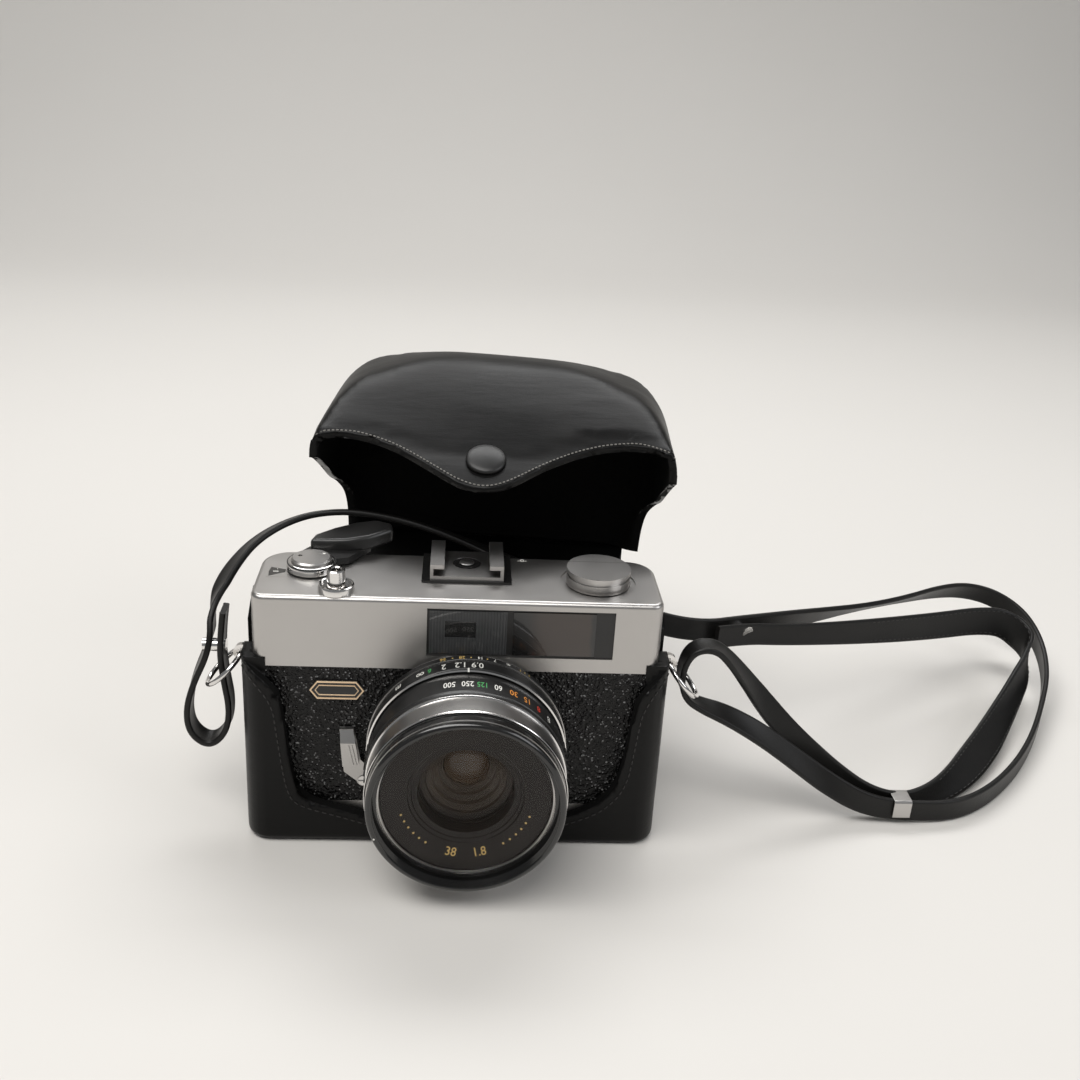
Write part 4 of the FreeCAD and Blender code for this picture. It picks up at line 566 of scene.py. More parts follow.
def soft_lamp(name, place, aim, size, power, colour=(1, 1, 1)):
    data = bpy.data.lights.new(name, "AREA")
    data.shape = "RECTANGLE"
    data.size, data.size_y = size
    data.energy = power
    data.color = colour
    turn = (Vector(aim) - Vector(place)).to_track_quat("-Z", "Y").to_matrix().to_4x4()
    added(name, data).matrix_world = Matrix.Translation(place) @ turn


soft_lamp("key_lamp", (-0.35, -0.45, 1.15), (0.03, 0.0, 0.05), (1.3, 0.5), 13.0, (1.0, 0.985, 0.96))
soft_lamp("fill_lamp", (0.9, -0.4, 0.7), (0.05, 0.0, 0.05), (0.6, 0.6), 3.0, (0.97, 0.98, 1.0))
soft_lamp("back_lamp", (0.05, 0.62, 0.95), (0.03, 0.0, 0.08), (1.1, 0.35), 7.0)
world = bpy.data.worlds.new("room_light")
world.use_nodes = True
sky = world.node_tree.nodes["Background"].inputs
sky["Color"].default_value = (0.86, 0.88, 0.90, 1)
sky["Strength"].default_value = 0.24
scene.world = world
scene.view_settings.view_transform = "Standard"

# %% [markdown]
# ## The strap
# One long leather strap. Its left end hangs folded in the wire ring on the left, passes behind the camera
# and out to the right, where a wider shoulder part turns back on itself on the table. It is a flat ribbon
# along a NURBS line. Each control point is (x, y, z, lean), and the lean is the turn of the strap's width
# about its own line. Leans and widths run along a second NURBS line with the same knots, so they change
# smoothly.

# %% The strap's route
NARROW = 7.0
WIDE = 11.0
STRAP_THICK = 1.75
STRAP_ROUTE = [
    (-64.9, -3.2, 67, 90), (-66.4, -3.2, 56.5, 90), (-65.7, -3, 46, 90), (-64.3, -3.2, 36.4, 90),
    (-65.6, -3.6, 28.6, 90), (-70.4, -4, 24.2, 90), (-75.6, -4, 28.2, 90), (-76.6, -3.8, 35.4, 90),
    (-74.4, -3.4, 44.4, 76), (-69.6, -2.6, 55.4, 64), (-69.6, 4.6, 64.4, 68), (-67, 16, 70.2, 80),
    (-60.7, 28, 75.2, 97), (-49.4, 37, 78.7, 107), (-36.8, 39, 80.2, 110), (-24.3, 40, 78.6, 110),
    (-10.1, 39.6, 75.4, 108), (8, 36, 69.8, 98), (26, 29, 63.7, 72), (44.5, 22.9, 58.6, 38),
    (62.8, 19, 54, 16), (76, 21.4, 51.2, 10), (88, 29, 49.2, 6), (104.3, 40, 46, -12),
    (121.8, 53.4, 42, -36), (140.2, 66.8, 38.6, -55), (160.6, 83, 34.4, -55), (182, 100.4, 30.2, -36),
    (197, 109, 27.2, -18), (210, 110.6, 23.4, -6), (219.4, 104, 18.6, 0), (222, 90.4, 13.2, 0),
    (217, 71.4, 9, 0), (206, 51.2, 6, 0), (195, 33.7, 4.6, 0), (182.4, 17.6, 4.2, 0), (168.4, 4.2, 4, 0),
    (154.6, -3.8, 4, 0), (138, -4.7, 4.4, 0), (126, -4.4, 6.2, 6), (114.1, -4, 12.8, 22),
    (102, -3.6, 21.8, 38), (90.4, -3.7, 30.4, 42), (79.4, -3.4, 36.6, 62), (71.2, -2.9, 39.4, 86),
    (66.6, -3, 42.4, 90), (64.6, -3, 48, 90), (65.3, -3, 54.8, 90), (68.4, -3, 58.8, 90),
    (74, -2.8, 58.8, 88), (78.8, -1.8, 54.4, 70), (84, 0.4, 47.8, 48), (90.2, 2.8, 39.6, 26),
    (97.8, 3.4, 30.4, 12), (107.2, 3, 21.4, 6), (117.4, 1.4, 13.2, 0), (127.4, -0.4, 7, 0),
    (138, -1.6, 4.8, 0), (149.5, 3.2, 4.3, 25), (160.4, 11.4, 4.7, 50), (170, 21.4, 5.6, 62),
    (180.1, 33.5, 6.6, 60), (189, 45.3, 8.2, 50), (199.7, 59.8, 11, 35), (207.8, 70.6, 15.4, 20),
    (209.4, 78.8, 21.2, 14), (202.6, 83.6, 26, 12), (190, 79.4, 28.6, 12), (173.1, 71.6, 30.2, 12),
    (153.6, 60.2, 34, 12), (135.9, 50.4, 37.5, 10), (119.3, 41.4, 41, 8), (103.6, 33, 44.6, 8),
    (90.6, 26.6, 48, 8), (79.4, 19.4, 50.2, 8),
]
SHOULDER = [7.8, 9.6, WIDE, WIDE, WIDE, WIDE, WIDE, 10.8, 10.6, 10.2, 9.8, 9.2, 8.4, 7.6]
strap_widths = [NARROW] * 58 + SHOULDER + [NARROW] * 3


def leaning(ahead, degrees):
    """Direction of the strap's width: upright at 0 degrees, along Y at 90, and square to the line."""
    hint = Vector((0, math.sin(math.radians(degrees)), math.cos(math.radians(degrees))))
    return (hint - ahead * hint.dot(ahead)).normalized()


strap_line = nurbs_points([Vector(row[:3]) * MM for row in STRAP_ROUTE])
strap_turns = nurbs_points([in_space(row[3], wide, 0) for row, wide in zip(STRAP_ROUTE, strap_widths)])
strap_frames = []
for index, point in enumerate(strap_line):
    ahead = (strap_line[min(index + 1, len(strap_line) - 1)] - strap_line[max(index - 1, 0)]).normalized()
    across = leaning(ahead, strap_turns[index].x / MM)
    strap_frames.append((point, across, ahead.cross(across).normalized(), strap_turns[index].y))
strap_length = sum((b - a).length for a, b in zip(strap_line, strap_line[1:]))
print(f"strap line: {len(strap_line)} points, {strap_length:.3f} m")

# %% [markdown]
# The section is a rounded rectangle whose edges are burnished, so they bulge a little.


# %% Build the strap
def ribbon(frames, thick, section):
    """A closed strip whose section, in shares of half its width and half its thickness, follows frames."""
    points = []
    for middle, across, out, wide in frames:
        for a, b in section:
            points.append(middle + across * (a * wide / 2) + out * (b * thick / 2))
    count = len(section)
    caps = [tuple(range(count)), tuple(range(len(points) - count, len(points)))]
    return mesh_from(points, band_faces(len(frames), count) + caps)


lower_face = [(-1, -0.45), (-0.94, -0.9), (-0.8, -1), (-0.66, -0.86), (0, -0.92), (0.66, -0.86), (0.8, -1),
              (0.94, -0.9), (1, -0.45)]
STRAP_SECTION = lower_face + [(-a, -b) for a, b in lower_face]
strap_mesh = ribbon(strap_frames, STRAP_THICK * MM, STRAP_SECTION)
strap = new_piece("strap_ribbon", strap_mesh, strap_hide, "camera", 60)
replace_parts(strap, "strap")
CLIP = [(-6.4, 2.9), (-6.4, 8.1), (-5.9, 8.8), (-0.1, 8.8), (0.4, 8.1), (0.4, 2.9), (0.0, 2.9), (0.0, 7.9),
        (-0.4, 8.35), (-5.6, 8.35), (-6.0, 7.9), (-6.0, 2.9)]
CLIP_LEFT, CLIP_RIGHT = 134.5, 140.0
clip_mesh = prism_mesh(CLIP, CLIP_LEFT, CLIP_RIGHT, lambda y, z, x: in_space(x, y, z))
clip = new_piece("strap_clip", clip_mesh, ring_chrome, "camera")
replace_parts(bevelled(clip, 0.12), "strap_keeper")
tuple(strap_line[0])
print("strap faces:", len(strap_mesh.polygons))

# %% [markdown]
# ## The spring under the release button
# The same `ribbon` makes a coil from a round section. A coil can't slide with the button when the button goes
# down its two millimetres, because its foot stays on the deck, so it rides on the camera body.


# %% Build the spring
SPRING_TURNS, SPRING_STEPS, SPRING_RADIUS, SPRING_WIRE = 5, 24, 2.4, 0.5
spring_low, spring_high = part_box("button_spring")
spring_foot = Vector(((spring_low.x + spring_high.x) / 2, (spring_low.y + spring_high.y) / 2, spring_low.z))
spring_tall = (spring_high.z - spring_low.z) / MM
spring_frames = []
for step in range(SPRING_TURNS * SPRING_STEPS + 1):
    turn = math.tau * step / SPRING_STEPS
    outward = Vector((math.cos(turn), math.sin(turn), 0))
    rise = SPRING_WIRE / 2 + (spring_tall - SPRING_WIRE) * step / (SPRING_TURNS * SPRING_STEPS)
    middle = spring_foot + (outward * SPRING_RADIUS + Z * rise) * MM
    ahead = Vector((-outward.y, outward.x, 0.08)).normalized()
    spring_frames.append((middle, outward, ahead.cross(outward).normalized(), SPRING_WIRE * MM))
spring_mesh = ribbon(spring_frames, SPRING_WIRE * MM, circle(10))
spring = new_piece("button_coil", spring_mesh, machined, "camera", 60)
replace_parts(spring, "button_spring")
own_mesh(spring)

# %% [markdown]
# ## Geometry Nodes helpers
# Knurls and stitches are one small shape repeated by a rule. Each tree takes that shape as an object, places
# it on points, and ends in Realize Instances and Set Material, so the result is an ordinary mesh.


# %% Trees that repeat a shape
class Plan:
    """A Geometry Nodes tree with named inputs."""

    def __init__(self, name, **inputs):
        self.tree = bpy.data.node_groups.new(name, "GeometryNodeTree")
        self.tree.interface.new_socket("Geometry", in_out="OUTPUT", socket_type="NodeSocketGeometry")
        self.keys = {}
        for label, kind in inputs.items():
            socket = self.tree.interface.new_socket(label, in_out="INPUT", socket_type=f"NodeSocket{kind}")
            self.keys[label] = socket.identifier
        self.entry = self.tree.nodes.new("NodeGroupInput")

    def input(self, label):
        return self.entry.outputs[label]

    def node(self, kind, values=None, out=0, **settings):
        return add_node(self.tree, kind, values, settings).outputs[out]

    def shape(self, label):
        """The geometry of the object that an input holds."""
        return self.node("GeometryNodeObjectInfo", {"Object": self.input(label)}, "Geometry")

    def copies(self, points, direction, **values):
        """Copies of the piece on points, each with its X axis along a direction."""
        facing = self.node("FunctionNodeAlignRotationToVector", {"Vector": direction}, axis="X")
        values = {"Points": points, "Instance": self.shape("Piece"), "Rotation": facing, **values}
        return self.node("GeometryNodeInstanceOnPoints", values)

    def finish(self, instances):
        solid = self.node("GeometryNodeRealizeInstances", {0: instances})
        values = {"Geometry": solid, "Material": self.input("Material")}
        add_node(self.tree, "NodeGroupOutput", {0: self.node("GeometryNodeSetMaterial", values)}, {})
        return self

    def grown(self, name, body, **values):
        """Run the tree once and keep its result as a plain mesh that rides on a body."""
        carrier = added(name, bpy.data.meshes.new(name))
        growth = carrier.modifiers.new("grow", "NODES")
        growth.node_group = self.tree
        for label, value in values.items():
            growth[self.keys[label]] = value
        mesh = frozen(carrier)
        discard(carrier)
        return new_piece(name, mesh, None, body)


def ring_plan():
    """Pieces round the Z axis, where X is less than Below, then moved and turned together."""
    plan = Plan("around_a_ring", Piece="Object", Material="Material", Count="Int", Radius="Float",
                Below="Float", Place="Vector", Turn="Rotation")
    values = {"Vertices": plan.input("Count"), "Radius": plan.input("Radius")}
    ring = plan.node("GeometryNodeMeshCircle", values)
    place = plan.node("GeometryNodeInputPosition")
    side = plan.node("ShaderNodeSeparateXYZ", {0: place}, "X")
    chosen = plan.node("FunctionNodeCompare", {0: side, 1: plan.input("Below")},
                       data_type="FLOAT", operation="LESS_THAN")
    values = {"Geometry": plan.copies(ring, place, Selection=chosen), "Translation": plan.input("Place"),
              "Rotation": plan.input("Turn")}
    return plan.finish(plan.node("GeometryNodeTransform", values))


def line_plan():
    """Pieces at even steps along a line."""
    plan = Plan("along_a_line", Piece="Object", Material="Material", Line="Object", Spacing="Float")
    values = {"Curve": plan.shape("Line"), "Length": plan.input("Spacing")}
    beads = plan.node("GeometryNodeResampleCurve", values, mode="LENGTH")
    return plan.finish(plan.copies(beads, plan.node("GeometryNodeInputTangent")))


around, along = ring_plan(), line_plan()


def pattern(name, mesh):
    """A small shape that only the trees use: it stays out of the scene's collection."""
    return bpy.data.objects.new(name, mesh)


def bar_mesh(length, wide, tall):
    """A low bar along Z whose outer face, towards +X, is about half as wide as its foot."""
    foot, crest = wide / 2, wide / 2 * 0.51
    section = [(0, -foot), (tall, -crest), (tall, crest), (0, foot)]
    return prism_mesh(section, -length / 2, length / 2)


def stitch_mesh(length, radius):
    """A thread's short capsule along X."""
    rings = [(-0.5, 0.0), (-0.42, 0.7), (-0.2, 1.0), (0.2, 1.0), (0.42, 0.7), (0.5, 0.0)]
    sides = circle(6)
    points = [in_space(x * length, a * radius * share, b * radius * share)
              for x, share in rings for a, b in sides]
    return mesh_from(points, band_faces(len(rings), len(sides)))


def sew(name, lines, body, material, length, radius, spacing):
    """Stitches along lines of points, as one mesh."""
    guide = line_object(name + "_line", lines, "POLY")
    stitch = pattern("stitch", stitch_mesh(length, radius))
    sewn = along.grown(name, body, Piece=stitch, Material=material, Line=guide, Spacing=spacing * MM)
    discard(guide)
    print(name, len(sewn.data.polygons), "faces")


# %% [markdown]
# ## Turned parts
# A lathe makes every ring of the lens, and later the cup, the hub and the snap. `revolved` turns a closed
# outline of (radius, height) pairs, in millimetres, about an axis. The rings get their small chamfers here,
# so their edges catch the light. Some stand for a CAD node, and the others are trim that the CAD lacks.

# %% Lathe
LENS_ACROSS, LENS_UP, BODY_FRONT = 3.2, 33.0, -15.0
LENS_PLACE, LENS_AXIS = in_space(LENS_ACROSS, BODY_FRONT, LENS_UP), Vector((0, -1, 0))


def revolved(outline, place, axis, segments=144):
    up = axis.cross(X).normalized()
    points = [place + axis * (height * MM) + (X * a + up * b) * (radius * MM)
              for radius, height in outline for a, b in circle(segments)]
    return mesh_from(points, band_faces(len(outline), segments, closed=True))


def lens_ring(name, outline, material, body, *nodes, segments=144):
    """A turned piece on the lens axis; heights are depths in front of the body."""
    ring = new_piece(name, revolved(outline, LENS_PLACE, LENS_AXIS, segments), material, body, 28)
    if nodes:
        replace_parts(ring, *nodes)


def ring_place(angle, depth, radius):
    """A point on the lens, angle degrees clockwise from the top for someone who faces it."""
    turn = math.radians(angle)
    across, up = radius * math.sin(turn), radius * math.cos(turn)
    return in_space(LENS_ACROSS + across, BODY_FRONT - depth, LENS_UP + up)


TUBE = 22.06
THREADS, THREAD_TOP, THREAD_PITCH = 5, 32.9, 0.55
filter_outline = [(23.3, 28.3), (26.0, 28.3), (26.1, 28.45), (26.1, 32.7), (25.95, 32.95), (25.7, 33.2),
                  (25.3, 33.4), (24.75, 33.4), (24.5, 33.2)]
for thread_turn in range(THREADS):
    depth = THREAD_TOP - thread_turn * THREAD_PITCH
    filter_outline += [(24.5, depth), (24.72, depth - 0.14), (24.72, depth - 0.3), (24.5, depth - 0.42)]
filter_outline += [(24.5, 30.2), (23.3, 30.2)]
LENS_RINGS = [
    ("guide_ring_turned", [(TUBE, 0.8), (27.6, 0.8), (28.0, 1.0), (28.0, 2.95), (27.8, 3.15), (TUBE, 3.15)],
     black_enamel, "guide_ring", "guide_number_ring"),
    ("distance_line", [(27.55, 3.1), (27.95, 3.12), (27.95, 3.32), (27.55, 3.34)], ring_chrome, "camera"),
    ("distance_ring_turned", [(TUBE, 3.3), (27.5, 3.3), (27.7, 3.5), (27.7, 7.4), (27.5, 7.55),
                              (27.5, 7.65), (27.7, 7.8), (27.4, 8.25), (TUBE, 8.25)],
     black_enamel, "distance_ring", "focus_ring"),
    ("distance_edge", [(27.42, 8.22), (27.72, 8.22), (27.72, 8.6), (27.3, 8.75)], bright_chrome, "camera"),
    ("speed_ring_turned", [(TUBE, 8.75), (26.6, 8.75), (26.75, 8.9), (26.75, 11.6), (27.0, 11.8),
                           (27.2, 12.0), (27.2, 18.3), (27.0, 18.5), (26.9, 18.9), (26.9, 19.85),
                           (TUBE, 19.85)],
     black_enamel, "shutter_speed_ring", "speed_ring"),
    ("silver_edge", [(26.3, 19.88), (26.95, 19.88), (27.02, 20.1), (26.95, 20.5), (26.6, 20.7), (26.3, 20.7)],
     bright_chrome, "camera"),
    ("front_barrel_turned", [(17.8, 12), (19.4, 12), (19.4, 20.7), (26.6, 20.7), (26.62, 20.9), (26.62, 28.28),
                             (23.3, 28.28), (23.3, 23.5), (17.8, 23.5)],
     ring_chrome, "camera", "front_barrel"),
    ("silver_lip", [(26.3, 27.35), (26.7, 27.4), (26.85, 27.7), (26.8, 28.1), (26.6, 28.28), (26.3, 28.28)],
     bright_chrome, "camera"),
    ("filter_ring_turned", filter_outline, black_gloss, "camera", "filter_ring"),
    ("filter_line", [(26.0, 31.3), (26.24, 31.34), (26.24, 31.6), (26.0, 31.64)], ring_chrome, "camera"),
    ("inner_line", [(22.8, 28.0), (23.28, 28.0), (23.28, 28.4), (22.9, 28.36)], ring_chrome, "camera"),
    ("number_ring", [(13.0, 20.6), (14.5, 20.6), (14.5, 23.5), (23.3, 23.5), (23.3, 28.1), (22.5, 28.1),
                     (22.4, 27.9), (15.6, 25.85), (15.4, 25.5), (14.6, 25.3), (14.4, 24.9), (13.0, 24.6)],
     lens_black, "camera", "front_trim_ring"),
    ("lens_cell", [(17.5, 8), (17.5, 20.4), (12.7, 20.4), (12.4, 19.5), (11.0, 18.8), (10.9, 17.6),
                   (9.5, 16.9), (9.4, 15.4), (8.0, 14.7), (7.9, 13.2), (6.6, 12.6), (6.5, 8)],
     lens_black, "camera"),
]
for row in LENS_RINGS:
    lens_ring(*row)
DOME_RADIUS, DOME_FOOT, DOME_RISE = 6.4, 12.0, 1.9
dome = [(0.02, DOME_FOOT), (DOME_RADIUS, DOME_FOOT)]
dome += [(DOME_RADIUS * a, DOME_FOOT + DOME_RISE * b) for a, b in circle(32)[1:8]]
dome += [(0.02, DOME_FOOT + DOME_RISE)]
lens_ring("inner_lens", dome, amber_glass, "camera", segments=64)
print("lens rings turned")

# %% [markdown]
# The shutter speed ring has a grip of axial ribs on its sides and below; its top is left smooth for the
# numbers.

# %% Knurls on the lens
GRIP_RIBS, GRIP_RADIUS, GRIP_DEPTH, GRIP_BELOW = 84, 27.15, 15.2, 11.0
LENS_TURN = LENS_AXIS.to_track_quat("Z", "X").to_euler()
grip_rib = pattern("grip_rib", bar_mesh(5.4, 0.9, 0.5))
around.grown("speed_ring_grip", "shutter_speed_ring", Piece=grip_rib, Material=black_enamel, Count=GRIP_RIBS,
             Radius=GRIP_RADIUS * MM, Below=GRIP_BELOW * MM, Turn=LENS_TURN,
             Place=LENS_PLACE + LENS_AXIS * (GRIP_DEPTH * MM))

# %% [markdown]
# ## Engraved numbers
# The numbers on a lens are read from behind the camera, so for someone who faces it they stand on their
# heads. A text object gives the flat shapes of the digits. Each point is then wrapped on the ring: the
# reading direction runs round the ring and the digits' tops point forward.


# %% Numbers wrapped on the rings
PAINT = 0.03
GUIDE, DISTANCE = ("guide_ring", 28.0), ("distance_ring", 27.7)
SPEED, INDEX = ("shutter_speed_ring", 27.2), ("camera", 27.82)


def flat_text(text, tall, squeeze):
    """Points and faces of a text, centred, tall millimetres high and squeezed across."""
    data = bpy.data.curves.new("digits", "FONT")
    data.body = text
    data.align_x, data.align_y = "CENTER", "CENTER"
    data.size = tall / 0.7
    data.resolution_u = 3
    data.offset = 0.012 * tall
    item = added("digits", data)
    mesh = frozen(item)
    discard(item)
    points = [(vertex.co.x * squeeze, vertex.co.y) for vertex in mesh.vertices]
    return points, [tuple(face.vertices) for face in mesh.polygons]


def painted(name, body, material, marks, put):
    """Flat marks of (text, height, squeeze, spot); put turns a spot and a text point into a place."""
    points, faces = [], []
    for text, tall, squeeze, spot in marks:
        flat, shapes = flat_text(text, tall, squeeze)
        start = len(points)
        points += [put(spot, u, v) for u, v in flat]
        faces += [tuple(start + k for k in shape) for shape in shapes]
    new_piece(name, flat_mesh(points, faces), material, body)


def ring_marks(name, ring, material, *rows):
    """Rows of (texts, angles, depth, height, squeeze) on a ring, which is a body and a radius."""
    body, radius = ring
    marks = [(text, tall, squeeze, (angle, depth)) for texts, angles, depth, tall, squeeze in rows
             for text, angle in zip(texts.split(), angles)]

    def put(spot, u, v):
        return ring_place(spot[0] - math.degrees(u / radius), spot[1] + v, radius + PAINT)
    painted(name, body, material, marks, put)


ring_marks("guide_numbers_gold", GUIDE, gold_mark,
           ("56 28 • • •", (-15.1, -4.3, -9.6, 0.7, 9.9), 2.0, 1.5, 0.8))
ring_marks("guide_numbers_pale", GUIDE, white_mark, ("14 7 m", (6.0, 14.3, 22.3), 2.0, 1.4, 0.75))
ring_marks("guide_step_marks", GUIDE, gold_mark, ("I I I", (30.0, 33.0, 36.0), 2.0, 1.2, 0.8))
ring_marks("distance_numbers", DISTANCE, white_mark,
           ("m ∞ 2 1.2 0.9", (-43.8, -28.7, -14.6, -4.9, 4.4), 5.5, 2.7, 0.72))
ring_marks("distance_green", DISTANCE, green_mark, ("6", (-22.9,), 5.6, 2.3, 0.7))
ring_marks("speeds_white", SPEED, white_mark,
           ("500 250 60", (-11.2, -1.0, 16.3), 14.8, 2.6, 0.6), ("B", (52.0,), 14.8, 2.4, 0.7))
ring_marks("speed_green", SPEED, green_mark, ("125", (7.3,), 14.8, 2.5, 0.58))
ring_marks("speeds_orange", SPEED, orange_mark, ("30 15", (25.7, 34.7), 14.8, 2.6, 0.68))
ring_marks("speed_red", SPEED, red_mark, ("8", (43.2,), 14.8, 2.5, 0.75))
ring_marks("speed_index", INDEX, white_mark, ("I", (-0.6,), 8.6, 2.2, 1.4))
print("numbers engraved")

# %% [markdown]
# The sloping ring round the glass carries the focal length, the aperture and a row of gold dots. They are
# read from the front, so their tops point at the lens axis.


# %% Numbers on the sloping ring
SLOPE_MIDDLE, SLOPE_INNER, SLOPE_FOOT, SLOPE = 18.2, 15.6, 25.85, 0.3015
RIM_MIDDLE, RIM_FRONT = 25.4, 33.44


def on_slope(angle, u, v):
    radius = SLOPE_MIDDLE - v
    depth = SLOPE_FOOT + (radius - SLOPE_INNER) * SLOPE + 0.04
    return ring_place(angle - math.degrees(u / radius), depth, radius)


def on_rim(angle, u, v):
    """The flat front of the filter ring."""
    return ring_place(angle - math.degrees(u / RIM_MIDDLE), RIM_FRONT, RIM_MIDDLE - v)


slope_marks = [("38", 2.3, 0.95, 191.5), ("1.8", 2.3, 0.95, 167.0)]
slope_marks += [("•", 1.6, 1.0, start + 7 * k) for start in (215, 110) for k in range(6)]
painted("lens_numbers", "camera", gold_mark, slope_marks, on_slope)
painted("lens_dot", "camera", white_mark, [("•", 1.5, 1.0, 249.0)], on_rim)

# %% [markdown]
# ## Small fittings
# The focusing tab, the cup round the release button, the bevelled hub, the frame counter's fan-shaped
# window, the mark of the film plane and the badge are too small for the CAD model to need their edges.


# %% Plates, prisms and lathe work on the top cover
TOP = 77.0
RELEASE, WIND = in_space(-33.4, -10.2, TOP), in_space(-41.5, 3.0, TOP)


def on_top(a, b, height):
    """A place above the flat of the top cover."""
    return in_space(a, b, TOP + height)


def on_lever(a, b, height):
    """The wind lever rises a little towards its tip."""
    return WIND + in_space(a, b, height + 0.07 * a)


CUP = [(2.66, 0), (4.9, 0), (4.9, 1.45), (4.75, 1.85), (4.45, 2.0), (4.2, 1.85), (4.05, 0.9), (3.1, 0.75),
       (2.66, 0.95)]
cup = revolved(CUP, RELEASE, Z, 96)
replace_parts(new_piece("release_cup", cup, bright_chrome, "camera"), "shutter_collar")
HUB = [(5.7, 0.3), (6.7, 0.3), (6.86, 0.5), (6.86, 2.05), (6.72, 2.35), (6.3, 2.62), (5.7, 2.62)]
new_piece("hub_bevel", revolved(HUB, WIND, Z, 96), bright_chrome, "wind_lever_group")
CONTACT = [(0.02, 0), (2.15, 0), (2.15, 0.08), (1.95, 0.16), (0.02, 0.16)]
new_piece("contact_face", revolved(CONTACT, on_top(1.8, 5.9, 2.05), Z, 48), ring_chrome, "camera")
painted("hub_dot", "wind_lever_group", white_mark, [("•", 2.2, 1.0, (-38.3, 5.2))],
        lambda spot, u, v: on_top(spot[0] + u, spot[1] + v, 3.75))
GRIP = [(-1.5, 8.0), (-0.5, 12.5), (4.5, 17.0), (10.5, 20.5), (16.5, 21.8), (21.2, 18.8), (21.8, 14.2),
        (15.5, 9.3), (9.5, 7.4), (4, 7.4)]
grip_mesh = prism_mesh(GRIP, 1.0, 5.4, on_lever)
grip = new_piece("lever_grip", grip_mesh, black_enamel, "wind_lever_group")
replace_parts(bevelled(grip, 1.0, 3), "wind_lever_grip")
MASK = [(-53.4, -2.9), (-48.2, -2.9), (-48.2, 3.4), (-53.4, 3.4)]
FAN = [(-48.5, 0.1), (-48.5, 1.9), (-50.6, 2.7), (-52.7, 3.3), (-53.0, 0.4), (-52.7, -2.5), (-50.6, -1.1)]
new_piece("counter_mask", prism_mesh(MASK, 0.0, 0.04, on_top), satin_chrome, "camera")
new_piece("counter_fan", prism_mesh(FAN, 0.03, 0.07, on_top), dark_glass, "camera")
counter_marks = [("0", 1.5, 0.8, (-51.0, 0.5)), ("-", 1.5, 0.8, (-51.0, 2.1))]
painted("counter_number", "camera", white_mark, counter_marks,
        lambda spot, u, v: on_top(spot[0] - v, spot[1] + u, 0.09))
painted("film_plane_mark", "camera", white_mark, [("-0-", 1.7, 1.0, (17.8, 12.6))],
        lambda spot, u, v: on_top(spot[0] + u, spot[1] + v, PAINT))
print("top cover fitted")


# %% Badge and focusing tab
BADGE_LEFT, BADGE_RIGHT, BADGE_LOW, BADGE_HIGH = -40.7, -25.3, 46.0, 51.8
BADGE_FACE, BADGE_RELIEF = -15.5, 0.18
TAB_ANGLE, TAB_RADIUS = -128, 30


def badge_outline(inset):
    """The six corners of the badge, each moved in by inset millimetres."""
    tip, corner = 1.25 * inset, 2.2 + 0.45 * inset
    low, middle, high = BADGE_LOW + inset, (BADGE_LOW + BADGE_HIGH) / 2, BADGE_HIGH - inset
    return [(BADGE_LEFT + tip, middle), (BADGE_LEFT + corner, low), (BADGE_RIGHT - corner, low),
            (BADGE_RIGHT - tip, middle), (BADGE_RIGHT - corner, high), (BADGE_LEFT + corner, high)]


def badge_line(name, outer, inner, material):
    """A raised line between two insets of the badge's outline."""
    rows = [(outer, 0), (outer + 0.08, BADGE_RELIEF), (inner - 0.08, BADGE_RELIEF), (inner, 0)]
    points = [in_space(x, BADGE_FACE - raised, z) for inset, raised in rows for x, z in badge_outline(inset)]
    new_piece(name, mesh_from(points, band_faces(4, 6)), material, "camera")


def tab_place(a, b, height):
    """On the focus ring at its lower left: a is depth, b runs round the ring, height is the radius."""
    return ring_place(TAB_ANGLE - math.degrees(b / TAB_RADIUS), a, height)


gold_metal = polished("gold_metal", 0.62, 0.3, 0.32)
badge_line("badge_rim", 0.1, 0.62, gold_metal)
badge_line("badge_line", 1.25, 1.6, gold_metal)
tab = prism_mesh([(3.9, -2.4), (7.7, -2.4), (7.7, 2.4), (3.9, 2.4)], 27.2, 31.5, tab_place)
bevelled(new_piece("focus_tab", tab, black_enamel, "distance_ring"), 0.6, 3)

# %% [markdown]
# ## Leather shells
# The half case, the hood and its neck start as copies of their CAD solids. Planes along all three axes dice
# each copy into small faces. Smoothing then softens the folds, while the cut edges stay where they are, and
# noise along the normals gives the slow waves and creases of old leather. `WAVE` is the flap's front edge
# seen from above and `GUSSET` its side cut, both in millimetres of the open hood.


# %% Leather from the CAD solids
HOOD_TURN = Matrix.Rotation(math.radians(-4), 3, "Z") @ Matrix.Rotation(math.radians(1.2), 3, "Y")
HOOD_PLACE = Vector((11.9, 85.0, 55.0))
NEAR_CUT = 0.2  # a point this near to a cut line lies on it
HELD, SOFT = 0.6, 6.0  # the leather is held this near to a cut edge, and free this much further in
CUT_ANGLE = math.radians(50)
WAVE = [(-60, -56), (-45, -53.6), (-36, -55.4), (-28, -58.4), (-18, -64.4), (-9, -70), (-1.5, -71.6),
        (5.5, -68.6), (15.5, -60.6), (27, -54.0), (38, -50.8), (46, -50.4), (60, -56)]
GUSSET = [(-95, -6), (-95, 26), (-62, 42.4), (-54, 43.0), (-47, 39.5), (-35, 32.8), (-23, 25.6), (-13, 20.4),
          (-8.4, 15.6), (-7.0, 8), (-6.6, -6)]


def in_hood(x, y, z):
    """A place given in the millimetres of the open hood, whose flap lies across its X and Y."""
    return (HOOD_TURN @ Vector((x, y, z)) + HOOD_PLACE) * MM


def from_hood(place):
    """The reverse of in_hood."""
    return HOOD_TURN.transposed() @ (place / MM - HOOD_PLACE)


